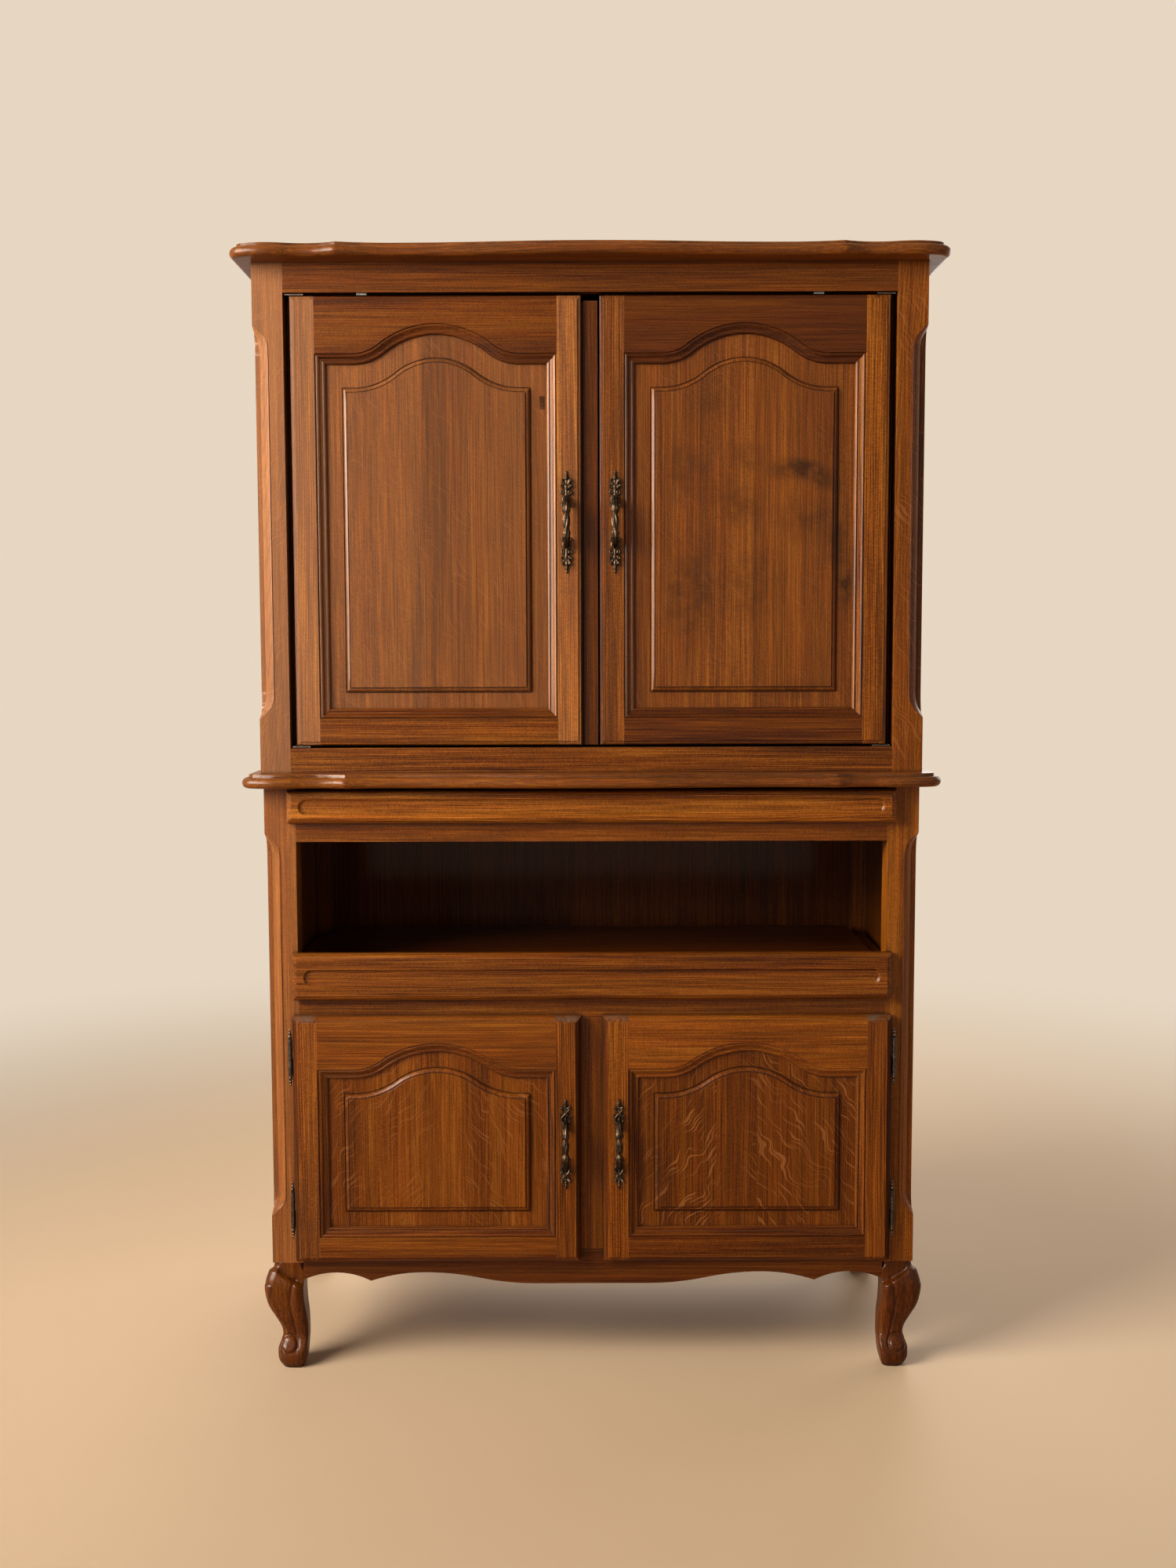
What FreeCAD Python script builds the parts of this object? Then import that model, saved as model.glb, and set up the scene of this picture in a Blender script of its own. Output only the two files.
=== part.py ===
import FreeCAD, Part
import math
import os

# Two-body television cabinet in oak: a TV case with pocket doors over a base with
# a drawer, an open niche with a sliding tray, and a two-door cupboard on cabriole legs.
# Millimetres, +Z up, front towards -Y, origin under the middle of the whole cabinet.

# Case sizes. The face is the plane of the front posts.
case_depth = 455.0
upper_width = 1078.0
lower_width = 1070.0
lower_case_height = 975.0
upper_case_height = 814.0

# Cornice and waist boards: overhang of the serpentine front from the face
board_thickness = 22.0
board_bullnose = 17.0
cornice_side_overhang = 30.0
waist_side_overhang = 31.0
bow_overhang = 57.0
wide_hollow_overhang = 43.0
cusp_overhang = 53.0
small_hollow_overhang = 42.0
ear_overhang = 50.0
wide_hollow_from_end = 259.0
cusp_from_end = 169.0
small_hollow_from_end = 119.0
ear_from_end = 59.0
cusp_radius = 14.0
ear_radius = 110.0
corner_radius = 30.0
board_step = 11.0

# Frame timber
upper_post_width = 49.0
upper_post_depth = 32.0
lower_post_width = 51.0
lower_post_depth = 45.0
rear_post_depth = 52.0
lower_rear_post_width = 40.0
rail_thickness = 24.0
side_thickness = 20.0
side_panel_thickness = 8.0
side_rail_height = 72.0
tongue_depth = 8.0
tongue_play = 1.0
back_thickness = 8.0
back_rebate = 10.0

# Stopped moulding on the outer corners of the front posts
post_moulding_width = 25.5
post_moulding_depth = 20.0
post_moulding_bead = 3.6
post_moulding_inset = 7.5
post_stop_length = 58.0
post_stop_curve = 2.6
post_stop_shares = [0.0, 0.14, 0.30, 0.50, 0.75, 1.0]
upper_stop_above_sill = 74.0
upper_stop_below_cornice = 84.0
lower_stop_above_leg = 66.0
lower_stop_below_waist = 63.0

# Upper front: frieze, bottom rail, pocket doors
frieze_height = 47.0
sill_height = 41.0
deck_thickness = 18.0
pocket_door_side_gap = 10.0
pocket_door_top_gap = 5.0
pocket_door_bottom_gap = 4.0
pocket_door_centre_gap = 29.0
pocket_door_thickness = 22.0
astragal_gap = 3.0
astragal_lap = 16.0
astragal_thickness = 10.0
astragal_nose = 12.0
astragal_top_gap = 7.0
catch_from_post = 125.0
catch_length = 16.0
catch_width = 9.0
catch_thickness = 3.0
catch_setback = 6.0

# Lower front. Apron drops are below the top of the legs.
leg_height = 176.0
apron_end_drop = 30.0
apron_hollow_drop = 17.5
apron_cusp_drop = 32.0
apron_centre_drop = 37.0
apron_cusp_from_post = 113.0
apron_hollow_from_post = 202.0
apron_flat_half = 95.0
skirt_land = 30.0
cupboard_floor_rise = 23.0
cupboard_height = 391.0
door_rail_height = 42.0
drawer_rail_height = 38.0
drawer_opening_height = 53.0
centre_stile_width = 62.0
dust_board_drop = 10.0
dust_board_thickness = 12.0

# Overlay fronts
front_thickness = 20.0
front_gap = 1.0
lower_door_top_lap = 6.0
lower_door_bottom_lap = 16.0
lower_door_side_lap = 9.0
lower_door_centre_gap = 37.0
drawer_front_bottom_lap = 6.0
drawer_front_side_lap = 12.0
drawer_front_top_gap = 5.0
tray_front_bottom_lap = 8.0
tray_front_side_lap = 8.0
tray_front_height = 77.0
sunk_panel_height = 26.5
sunk_panel_end_margin = 20.0

# Drawer box and tray
slide_play = 0.3
drawer_side_gap = 3.0
drawer_wall = 12.0
drawer_lift = 4.0
drawer_head_room = 9.0
drawer_box_depth = 390.0
drawer_bottom_thickness = 6.0
drawer_bottom_height = 5.0
tray_lip = 25.0
tray_thickness = 16.0
tray_depth = 395.0
runner_width = 55.0

# Door framing
upper_stile_face = 39.0
upper_rail_face = 43.0
upper_arch_rise = 47.0
lower_stile_face = 41.0
lower_rail_face = 42.0
lower_arch_rise = 44.0
sticking_width = 17.0
shoulder_land = 44.0
crown_share = 0.62
panel_recess = 10.0
sight_lip = 1.0
panel_thickness = 7.0
panel_groove = 10.0
panel_play = 1.0
field_margin = 27.5
field_bevel = 6.0
field_step = 1.5
field_sink = 3.0
upper_field_drop = 10.5
lower_field_drop = 0.0

# Moulding profiles as (distance, depth below the face), both in millimetres.
# Sticking runs from the face of the stile down to the panel, the distance is to the sight line.
sticking = [
    (sticking_width, 0.0),
    (sticking_width - 1.0, 2.2),
    (sticking_width - 3.4, 1.2),
    (sticking_width - 5.8, 2.2),
    (sticking_width - 7.6, 4.8),
    (5.6, 6.0),
    (3.6, 5.2),
    (1.4, 6.2),
    (0.0, panel_recess - sight_lip),
]
# Edge profiles: the distance is from the outer edge of the piece.
pocket_door_edge = [(6.5, 0.0), (5.8, 1.4), (2.0, 1.8), (0.6, 2.8), (0.0, 4.5)]
overlay_edge = [(8.5, 0.0), (8.0, 1.6), (5.0, 2.4), (2.4, 4.6), (1.2, 7.2), (0.0, 8.0)]
sunk_panel_edge = [(0.0, 0.0), (1.2, 2.2), (3.4, 3.6)]

# Pocket door gear
pivot_radius = 4.0
pivot_clearance = 0.05
pivot_depth = 16.0
pivot_plate_thickness = 2.0
pivot_plate_clearance = 1.0
carrier_clearance = 3.0
carrier_depth = 22.0
carrier_thickness = 18.0
slide_rail_height = 20.0
slide_rail_clearance = 0.5
slide_slot_height = 10.0
slide_slot_wall = 3.0
shoe_clearance = 0.4
slide_rail_end_gap = 3.0

# Barrel hinges of the lower doors
barrel_radius = 3.6
barrel_length = 62.0
barrel_gap = 0.3
barrel_door_gap = 1.0
finial_length = 17.0
hinge_pin_radius = 2.0
hinge_pin_clearance = 0.05
hinge_pin_length = 22.0
hinge_leaf_thickness = 2.0
hinge_leaf_depth = 18.0
upper_hinge_below_door_top = 68.0
lower_hinge_above_door_bottom = 87.0

# Bow pulls
upper_pull_length = 164.0
lower_pull_length = 152.0
upper_pull_inset = 24.5
lower_pull_inset = 25.5
upper_pull_height = 359.0
lower_pull_height = 201.0
pull_plate_thickness = 3.0
pull_boss_spacing = 72.0
pull_reach = 19.0
pull_post_radius = 3.6
pull_grip_radius = 6.0
pull_neck_radius = 3.0
pull_leaf_length = 16.0
pull_shoulder = 10.0
pull_tip_half_width = 5.2
pull_leaf_half_width = 9.2
pull_boss_half_width = 8.4
pull_bar_half_width = 3.2
pull_dome_radius = 6.0

# Cabriole leg: share of its height, then how far it swells past the post to the outer side,
# the inner side, the front and the back
knee_swell = 13.5
foot_swell = -10.0
toe_reach = 18.0
leg_stations = [
    (1.0, 0.0, 0.0, 0.0, 0.0),
    (0.92, 7.5, 0.0, 7.5, 0.0),
    (0.80, knee_swell, 0.0, knee_swell, 0.0),
    (0.69, 12.0, 1.0, 13.0, 0.0),
    (0.58, 6.5, 3.5, 11.0, -2.0),
    (0.46, -5.0, 7.0, 7.0, -6.0),
    (0.36, -14.5, 8.5, 4.0, -9.0),
    (0.28, -17.0, 9.0, 5.5, -10.0),
    (0.21, -12.5, 8.5, 13.0, -12.0),
    (0.13, foot_swell, 7.5, toe_reach, -14.0),
    (0.06, -12.0, 5.5, toe_reach, -17.0),
    (0.0, -17.5, 2.0, 13.0, -22.0),
]
leg_corner_top = 1.5
leg_corner = 9.0
scroll_radius = 14.5
scroll_height = 39.0
scroll_inset = 5.0
scroll_relief = 2.5
scroll_root = 12.0
scroll_eye_radius = 5.5

# Levels and planes that follow from the sizes above
face_y = bow_overhang - (case_depth + bow_overhang) / 2
back_y = face_y + case_depth
back_inner_y = back_y - back_thickness
rear_post_y = back_y - rear_post_depth
upper_half = upper_width / 2
lower_half = lower_width / 2
upper_inner = upper_half - upper_post_width
lower_inner = lower_half - lower_post_width
upper_side_inner = upper_half - side_thickness
lower_side_inner = lower_half - side_thickness
waist_bottom = lower_case_height
waist_top = waist_bottom + board_thickness
cornice_bottom = waist_top + upper_case_height
frieze_bottom = cornice_bottom - frieze_height
sill_top = waist_top + sill_height
apron_end_height = leg_height - apron_end_drop
apron_hollow_height = leg_height - apron_hollow_drop
apron_cusp_height = leg_height - apron_cusp_drop
apron_centre_height = leg_height - apron_centre_drop
cupboard_floor_top = leg_height + cupboard_floor_rise
door_rail_bottom = cupboard_floor_top + cupboard_height
door_rail_top = door_rail_bottom + door_rail_height
drawer_rail_top = waist_bottom - drawer_opening_height
drawer_rail_bottom = drawer_rail_top - drawer_rail_height
tray_front_bottom = door_rail_top - tray_front_bottom_lap
tray_front_top = tray_front_bottom + tray_front_height
tray_top = tray_front_top - tray_lip
front_back_y = face_y - front_gap
front_front_y = front_back_y - front_thickness


def point(x, y, z):
    return FreeCAD.Vector(x, y, z)


def box(x0, x1, y0, y1, z0, z1):
    return Part.makeBox(x1 - x0, y1 - y0, z1 - z0, point(x0, y0, z0))


def cylinder_up(radius, height, x, y, z):
    return Part.makeCylinder(radius, height, point(x, y, z))


def line(start, end):
    return Part.LineSegment(start, end).toShape()


def arc(start, middle, end):
    return Part.Arc(start, middle, end).toShape()


def mirrored(shape):
    return shape.mirror(point(0, 0, 0), point(1, 0, 0))


def pair(shape):
    return [shape, mirrored(shape)]


def save(name, solids):
    shape = solids[0] if len(solids) == 1 else Part.makeCompound(solids)
    shape.exportStep("parts/" + name + ".step")


def save_sides(name, shape):
    save(name + "_left", [shape])
    save(name + "_right", [mirrored(shape)])


def polygon_prism(corners, y0, y1):
    # corners are (x, z) pairs, the prism runs from y0 to y1
    points = [point(x, y0, z) for x, z in corners]
    outline = Part.makePolygon(points + [points[0]])
    return Part.Face(outline).extrude(point(0, y1 - y0, 0))


# Cornice and waist boards
def circles_meet(centre1, radius1, centre2, radius2):
    # the meeting point of two circles that lies further back
    across = centre2 - centre1
    gap = across.Length
    along = (radius1 ** 2 - radius2 ** 2 + gap ** 2) / (2 * gap)
    height = math.sqrt(radius1 ** 2 - along ** 2)
    unit = across / gap
    normal = point(-unit.y, unit.x, 0)
    foot = centre1 + unit * along
    return max((foot + normal * height, foot - normal * height), key=lambda p: p.y)


def arc_between(centre, radius, start, end):
    middle = (start + end) / 2 - centre
    return arc(start, centre + middle * (radius / middle.Length), end)


def serpentine_right(side_x):
    # front edge from the middle of the bow to the back corner of the right side
    wide_hollow_x = side_x - wide_hollow_from_end
    cusp_x = side_x - cusp_from_end
    small_hollow_x = side_x - small_hollow_from_end
    ear_x = side_x - ear_from_end
    bow = point(0, face_y - bow_overhang, 0)
    wide = point(wide_hollow_x, face_y - wide_hollow_overhang, 0)
    small = point(small_hollow_x, face_y - small_hollow_overhang, 0)
    ear = point(ear_x, face_y - ear_overhang, 0)

    # the bow sweeps into the wide hollow with two equal arcs
    drop = bow_overhang - wide_hollow_overhang
    sweep_radius = (wide_hollow_x ** 2 + drop ** 2) / (4 * drop)
    bow_centre = bow + point(0, sweep_radius, 0)
    sweep_centre = wide - point(0, sweep_radius, 0)
    inflection = (bow + wide) / 2

    # two hollows run up to the rounded cusp
    wide_run = cusp_x - wide_hollow_x
    wide_rise = cusp_overhang - wide_hollow_overhang
    wide_radius = (wide_run ** 2 + wide_rise ** 2) / (2 * wide_rise)
    small_run = small_hollow_x - cusp_x
    small_rise = cusp_overhang - small_hollow_overhang
    small_radius = (small_run ** 2 + small_rise ** 2) / (2 * small_rise)
    wide_centre = wide - point(0, wide_radius, 0)
    small_centre = small - point(0, small_radius, 0)
    cusp_centre = circles_meet(wide_centre, wide_radius + cusp_radius, small_centre,
                               small_radius + cusp_radius)
    to_wide = (wide_centre - cusp_centre).normalize()
    to_small = (small_centre - cusp_centre).normalize()
    cusp_start = cusp_centre + to_wide * cusp_radius
    cusp_end = cusp_centre + to_small * cusp_radius

    # the small hollow sweeps into the ear, and the ear into the round corner
    ear_run = ear_x - small_hollow_x
    ear_rise = ear_overhang - small_hollow_overhang
    ear_sum = (ear_run ** 2 + ear_rise ** 2) / (2 * ear_rise)
    ear_sweep = ear_sum / 2
    sweep_small = small - point(0, ear_sweep, 0)
    sweep_ear = ear + point(0, ear_sweep, 0)
    ear_inflection = (small + ear) / 2
    ear_centre = ear + point(0, ear_radius, 0)
    corner_x = side_x - corner_radius
    lean = math.asin((corner_x - ear_x) / (ear_radius - corner_radius))
    corner_start = ear_centre + point(math.sin(lean), -math.cos(lean), 0) * ear_radius
    corner_centre = point(corner_x, ear_centre.y - (ear_radius - corner_radius) * math.cos(lean), 0)
    corner_end = corner_centre + point(corner_radius, 0, 0)

    return [
        arc_between(bow_centre, sweep_radius, bow, inflection),
        arc_between(sweep_centre, sweep_radius, inflection, wide),
        arc_between(wide_centre, wide_radius, wide, cusp_start),
        arc_between(cusp_centre, cusp_radius, cusp_start, cusp_end),
        arc_between(small_centre, small_radius, cusp_end, small),
        arc_between(sweep_small, ear_sweep, small, ear_inflection),
        arc_between(sweep_ear, ear_sweep, ear_inflection, ear),
        arc_between(ear_centre, ear_radius, ear, corner_start),
        arc_between(corner_centre, corner_radius, corner_start, corner_end),
        line(corner_end, point(side_x, back_y, 0)),
    ]


def serpentine_face(side_x):
    right = serpentine_right(side_x)
    left = [mirrored(edge) for edge in right]
    back = line(point(side_x, back_y, 0), point(-side_x, back_y, 0))
    edges = Part.__sortEdges__(right + left + [back])
    return Part.Face(Part.Wire(edges))


def moulded_board(side_x, bottom):
    # bullnose slab under a thinner slab that steps back from it
    lower = serpentine_face(side_x).extrude(point(0, 0, board_bullnose))
    rim = [e for e in lower.Edges if e.BoundBox.ZLength < 0.01 and e.BoundBox.YMin < back_y - 1]
    lower = lower.makeFillet(0.49 * board_bullnose, rim)
    inner = serpentine_face(side_x).makeOffset2D(-board_step)
    upper = Part.Face(inner.OuterWire).extrude(point(0, 0, board_thickness - board_bullnose))
    upper.translate(point(0, 0, board_bullnose))
    back_strip = box(-side_x + board_step, side_x - board_step, back_y - board_step - 1, back_y,
                     board_bullnose, board_thickness)
    board = lower.fuse([upper, back_strip]).removeSplitter()
    board.translate(point(0, 0, bottom))
    return board


def build_boards():
    save("waist_board", [moulded_board(lower_half + waist_side_overhang, waist_bottom)])
    save("cornice_board", [moulded_board(upper_half + cornice_side_overhang, cornice_bottom)])


# Posts, rails, panels and boards of the case. Left-hand pieces are drawn and mirrored.
def post_moulding(half, low, high):
    # cutters for the stopped ovolo and bead on the outer front corner of a left post
    outer = -half
    bead_end = post_moulding_width - post_moulding_bead

    def at(across, deep):
        return point(outer + across, face_y + deep, low)

    bead_top = at(post_moulding_width - post_moulding_bead / 2, 0.4)
    foot = at(post_moulding_inset, post_moulding_depth)
    swell = at(post_moulding_inset + 0.40 * (bead_end - post_moulding_inset), 0.46 * post_moulding_depth)
    start = at(post_moulding_width, 2.0)
    bead_low = at(bead_end, 2.2)
    edges = [
        line(at(-1, -1), at(post_moulding_width, -1)),
        line(at(post_moulding_width, -1), start),
        arc(start, bead_top, bead_low),
        arc(bead_low, swell, foot),
        line(foot, at(-1, post_moulding_depth)),
        line(at(-1, post_moulding_depth), at(-1, -1)),
    ]
    profile = Part.Wire(edges)
    full = profile.copy()
    full.translate(point(0, 0, post_stop_length))
    straight = Part.Face(full).extrude(point(0, 0, high - low - 2 * post_stop_length))
    # at each end the cut runs out of the corner along a curve
    sections = []
    for share in post_stop_shares:
        left = (1 - share) ** post_stop_curve
        section = profile.copy()
        section.translate(point(-left * (post_moulding_width + 1), -left * (post_moulding_depth + 1),
                                share * post_stop_length))
        sections.append(section)
    foot_end = Part.makeLoft(sections, True, False)
    middle = point(0, 0, (low + high) / 2)
    head_end = foot_end.mirror(middle, point(0, 0, 1))
    return straight, foot_end, head_end


def side_panel(half, front_y, rear_y, low, high, play):
    # panel between a front and a rear post, with its tongues; play widens it into the groove
    outer = -half + (side_thickness - side_panel_thickness) / 2
    reach = tongue_depth - tongue_play + play
    return box(outer, outer + side_panel_thickness, front_y - reach, rear_y + reach,
               low - reach, high + reach)


def side_rail(half, front_y, rear_y, low, high):
    return box(-half, -half + side_thickness, front_y, rear_y, low, high)


def rear_post(half, width, low, high, panel_low):
    # the rebate takes the back panel from its lower edge up
    post = box(-half, -half + width, rear_post_y, back_y, low, high)
    rebate = box(-half + back_rebate, -half + width, back_inner_y, back_y, panel_low, high)
    return post.cut(rebate)


def build_upper_case():
    front_y = face_y + upper_post_depth
    panel_low = waist_top + side_rail_height
    panel_high = cornice_bottom - side_rail_height
    groove = side_panel(upper_half, front_y, rear_post_y, panel_low, panel_high, tongue_play)
    panel = side_panel(upper_half, front_y, rear_post_y, panel_low, panel_high, 0)

    post = box(-upper_half, -upper_inner, face_y, front_y, waist_top, cornice_bottom)
    moulding = post_moulding(upper_half, waist_top + upper_stop_above_sill,
                             cornice_bottom - upper_stop_below_cornice)
    save("upper_front_posts", pair(post.cut(list(moulding)).cut(groove)))

    rear = rear_post(upper_half, side_thickness, waist_top, cornice_bottom, waist_top)
    save("upper_rear_posts", pair(rear.cut(groove)))
    low_rail = side_rail(upper_half, front_y, rear_post_y, waist_top, panel_low).cut(groove)
    high_rail = side_rail(upper_half, front_y, rear_post_y, panel_high, cornice_bottom).cut(groove)
    save("upper_side_rails", pair(low_rail) + pair(high_rail))
    save("upper_side_panels", pair(panel))

    rail_back = face_y + rail_thickness
    save("frieze_rail", [box(-upper_inner, upper_inner, face_y, rail_back, frieze_bottom, cornice_bottom)])
    save("upper_bottom_rail", [box(-upper_inner, upper_inner, face_y, rail_back, waist_top, sill_top)])

    deck = box(-upper_side_inner, upper_side_inner, rail_back, back_inner_y,
               sill_top - deck_thickness, sill_top)
    post_notch = box(-upper_half, -upper_inner, face_y, front_y, waist_top, cornice_bottom)
    save("tv_deck", [deck.cut(Part.makeCompound(pair(post_notch)))])
    back_half = upper_half - back_rebate
    save("upper_back_panel", [box(-back_half, back_half, back_inner_y, back_y, waist_top, cornice_bottom)])

    catch_x = upper_inner - catch_from_post
    catch_front = face_y + catch_setback
    catch = box(-catch_x - catch_length / 2, -catch_x + catch_length / 2, catch_front,
                catch_front + catch_width, frieze_bottom - catch_thickness, frieze_bottom)
    save("upper_door_catches", pair(catch))


def apron_outline_right():
    # lower edge of the apron from the middle to the right post
    apron_cusp_x = lower_inner - apron_cusp_from_post
    apron_hollow_x = lower_inner - apron_hollow_from_post
    flat = point(0, face_y, apron_centre_height)
    run_start = point(apron_flat_half, face_y, apron_centre_height)
    hollow = point(apron_hollow_x, face_y, apron_hollow_height)
    middle = (run_start + hollow) / 2
    rise = apron_hollow_height - apron_centre_height
    run = apron_hollow_x - apron_flat_half
    radius = (run ** 2 + rise ** 2) / (4 * rise)
    cusp = point(apron_cusp_x, face_y, apron_cusp_height)
    cusp_run = apron_cusp_x - apron_hollow_x
    cusp_drop = apron_hollow_height - apron_cusp_height
    cusp_radius_down = (cusp_run ** 2 + cusp_drop ** 2) / (2 * cusp_drop)
    end = point(lower_inner, face_y, apron_end_height)
    crest = point((apron_cusp_x + lower_inner) / 2, face_y, apron_hollow_height)
    return [
        line(flat, run_start),
        arc_between(run_start + point(0, 0, radius), radius, run_start, middle),
        arc_between(hollow - point(0, 0, radius), radius, middle, hollow),
        arc_between(hollow - point(0, 0, cusp_radius_down), cusp_radius_down, hollow, cusp),
        arc(cusp, crest, end),
    ]


def build_apron():
    right = apron_outline_right()
    left = [mirrored(edge) for edge in right]
    end = point(lower_inner, face_y, apron_end_height)
    top_right = point(lower_inner, face_y, cupboard_floor_top)
    top_left = point(-lower_inner, face_y, cupboard_floor_top)
    sides = [line(end, top_right), line(top_right, top_left),
             line(top_left, point(-lower_inner, face_y, apron_end_height))]
    wire = Part.Wire(Part.__sortEdges__(right + left + sides))
    save("apron", [Part.Face(wire).extrude(point(0, rail_thickness, 0))])


def side_skirt(front_y):
    # lower side rail with an arched lower edge
    rail = side_rail(lower_half, front_y, rear_post_y, apron_end_height, leg_height + side_rail_height)
    start = point(-lower_half - 1, front_y + skirt_land, apron_end_height)
    end = point(-lower_half - 1, rear_post_y - skirt_land, apron_end_height)
    crest = point(-lower_half - 1, (front_y + rear_post_y) / 2, apron_hollow_height)
    arch = Part.Face(Part.Wire([arc(start, crest, end), line(end, start)]))
    return rail.cut(arch.extrude(point(side_thickness + 2, 0, 0)))


def inner_board(low, high):
    # board that fills the base behind the rails, notched round the four posts
    board = box(-lower_side_inner, lower_side_inner, face_y + rail_thickness, back_inner_y, low, high)
    front_post = box(-lower_half, -lower_inner, face_y, face_y + lower_post_depth, low, high)
    rear = box(-lower_half, -lower_half + lower_rear_post_width, rear_post_y, back_y, low, high)
    return board.cut(Part.makeCompound(pair(front_post) + pair(rear)))


def build_lower_case(pintles):
    front_y = face_y + lower_post_depth
    panel_low = leg_height + side_rail_height
    panel_high = waist_bottom - side_rail_height
    groove = side_panel(lower_half, front_y, rear_post_y, panel_low, panel_high, tongue_play)
    panel = side_panel(lower_half, front_y, rear_post_y, panel_low, panel_high, 0)

    post = box(-lower_half, -lower_inner, face_y, front_y, leg_height, waist_bottom)
    moulding = post_moulding(lower_half, leg_height + lower_stop_above_leg,
                             waist_bottom - lower_stop_below_waist)
    post = post.cut(list(moulding)).cut(groove)
    for pintle in pintles:
        post = post.cut(pintle)
    save("lower_front_posts", pair(post))

    rear = rear_post(lower_half, lower_rear_post_width, 0, waist_bottom, apron_end_height)
    save("lower_rear_posts", pair(rear.cut(groove)))
    skirt = side_skirt(front_y).cut(groove)
    high_rail = side_rail(lower_half, front_y, rear_post_y, panel_high, waist_bottom).cut(groove)
    save("lower_side_rails", pair(skirt) + pair(high_rail))
    save("lower_side_panels", pair(panel))

    rail_back = face_y + rail_thickness
    save("drawer_rail", [box(-lower_inner, lower_inner, face_y, rail_back, drawer_rail_bottom,
                             drawer_rail_top)])
    save("door_rail", [box(-lower_inner, lower_inner, face_y, rail_back, door_rail_bottom, door_rail_top)])
    half_stile = centre_stile_width / 2
    save("centre_stile", [box(-half_stile, half_stile, face_y, rail_back, cupboard_floor_top,
                              door_rail_bottom)])
    back_half = lower_half - back_rebate
    save("lower_back_panel", [box(-back_half, back_half, back_inner_y, back_y, apron_end_height,
                                  waist_bottom)])

    niche_top = drawer_rail_top - dust_board_drop
    cupboard_top = door_rail_top - dust_board_drop
    save("dust_boards", [inner_board(niche_top - dust_board_thickness, niche_top),
                         inner_board(cupboard_top - dust_board_thickness, cupboard_top)])
    save("cupboard_floor", [inner_board(cupboard_floor_top - deck_thickness, cupboard_floor_top)])

    runner_inner = -lower_side_inner + runner_width
    drawer_runner = box(-lower_side_inner, runner_inner, front_y, rear_post_y, niche_top,
                        drawer_rail_top + drawer_lift - slide_play)
    tray_runner = box(-lower_side_inner, runner_inner, front_y, rear_post_y, cupboard_top,
                      tray_top - tray_thickness - slide_play)
    save("drawer_runners", pair(drawer_runner) + pair(tray_runner))


# Cabriole front legs
def leg_section(height, outward, inward, forward, backward, corner):
    x0 = -lower_half - outward
    x1 = -lower_inner + inward
    y0 = face_y - forward
    y1 = face_y + lower_post_depth + backward
    k = corner * (1 - math.sqrt(0.5))

    def at(x, y):
        return point(x, y, height)

    return Part.Wire([
        line(at(x0 + corner, y0), at(x1 - corner, y0)),
        arc(at(x1 - corner, y0), at(x1 - k, y0 + k), at(x1, y0 + corner)),
        line(at(x1, y0 + corner), at(x1, y1 - corner)),
        arc(at(x1, y1 - corner), at(x1 - k, y1 - k), at(x1 - corner, y1)),
        line(at(x1 - corner, y1), at(x0 + corner, y1)),
        arc(at(x0 + corner, y1), at(x0 + k, y1 - k), at(x0, y1 - corner)),
        line(at(x0, y1 - corner), at(x0, y0 + corner)),
        arc(at(x0, y0 + corner), at(x0 + k, y0 + k), at(x0 + corner, y0)),
    ])


def build_legs():
    sections = []
    for share, *swell in leg_stations:
        corner = leg_corner_top if share == 1.0 else leg_corner
        sections.append(leg_section(share * leg_height, *swell, corner))
    leg = Part.makeLoft(sections, True, False)
    # the scroll stands on the front of the foot, with a round eye
    scroll_x = -lower_half - foot_swell + scroll_radius + scroll_inset
    foot_front = face_y - toe_reach
    scroll = Part.makeCylinder(scroll_radius, scroll_root + scroll_relief,
                               point(scroll_x, foot_front + scroll_root, scroll_height),
                               point(0, -1, 0))
    rim = [e for e in scroll.Edges if abs(e.BoundBox.YMax - scroll.BoundBox.YMin) < 0.01]
    scroll = scroll.makeFillet(0.6 * scroll_relief, rim)
    eye = Part.makeSphere(scroll_eye_radius, point(scroll_x, scroll.BoundBox.YMin, scroll_height))
    leg = leg.fuse([scroll, eye])
    # square seat for the end of the apron and for the side skirt
    apron_seat = box(-lower_inner, 0, face_y, face_y + rail_thickness, apron_centre_height, leg_height)
    skirt_seat = box(-lower_width, -lower_half + side_thickness, face_y + lower_post_depth, back_y,
                     apron_end_height, leg_height)
    save("front_legs", pair(leg.cut(apron_seat).cut(skirt_seat)))


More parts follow.
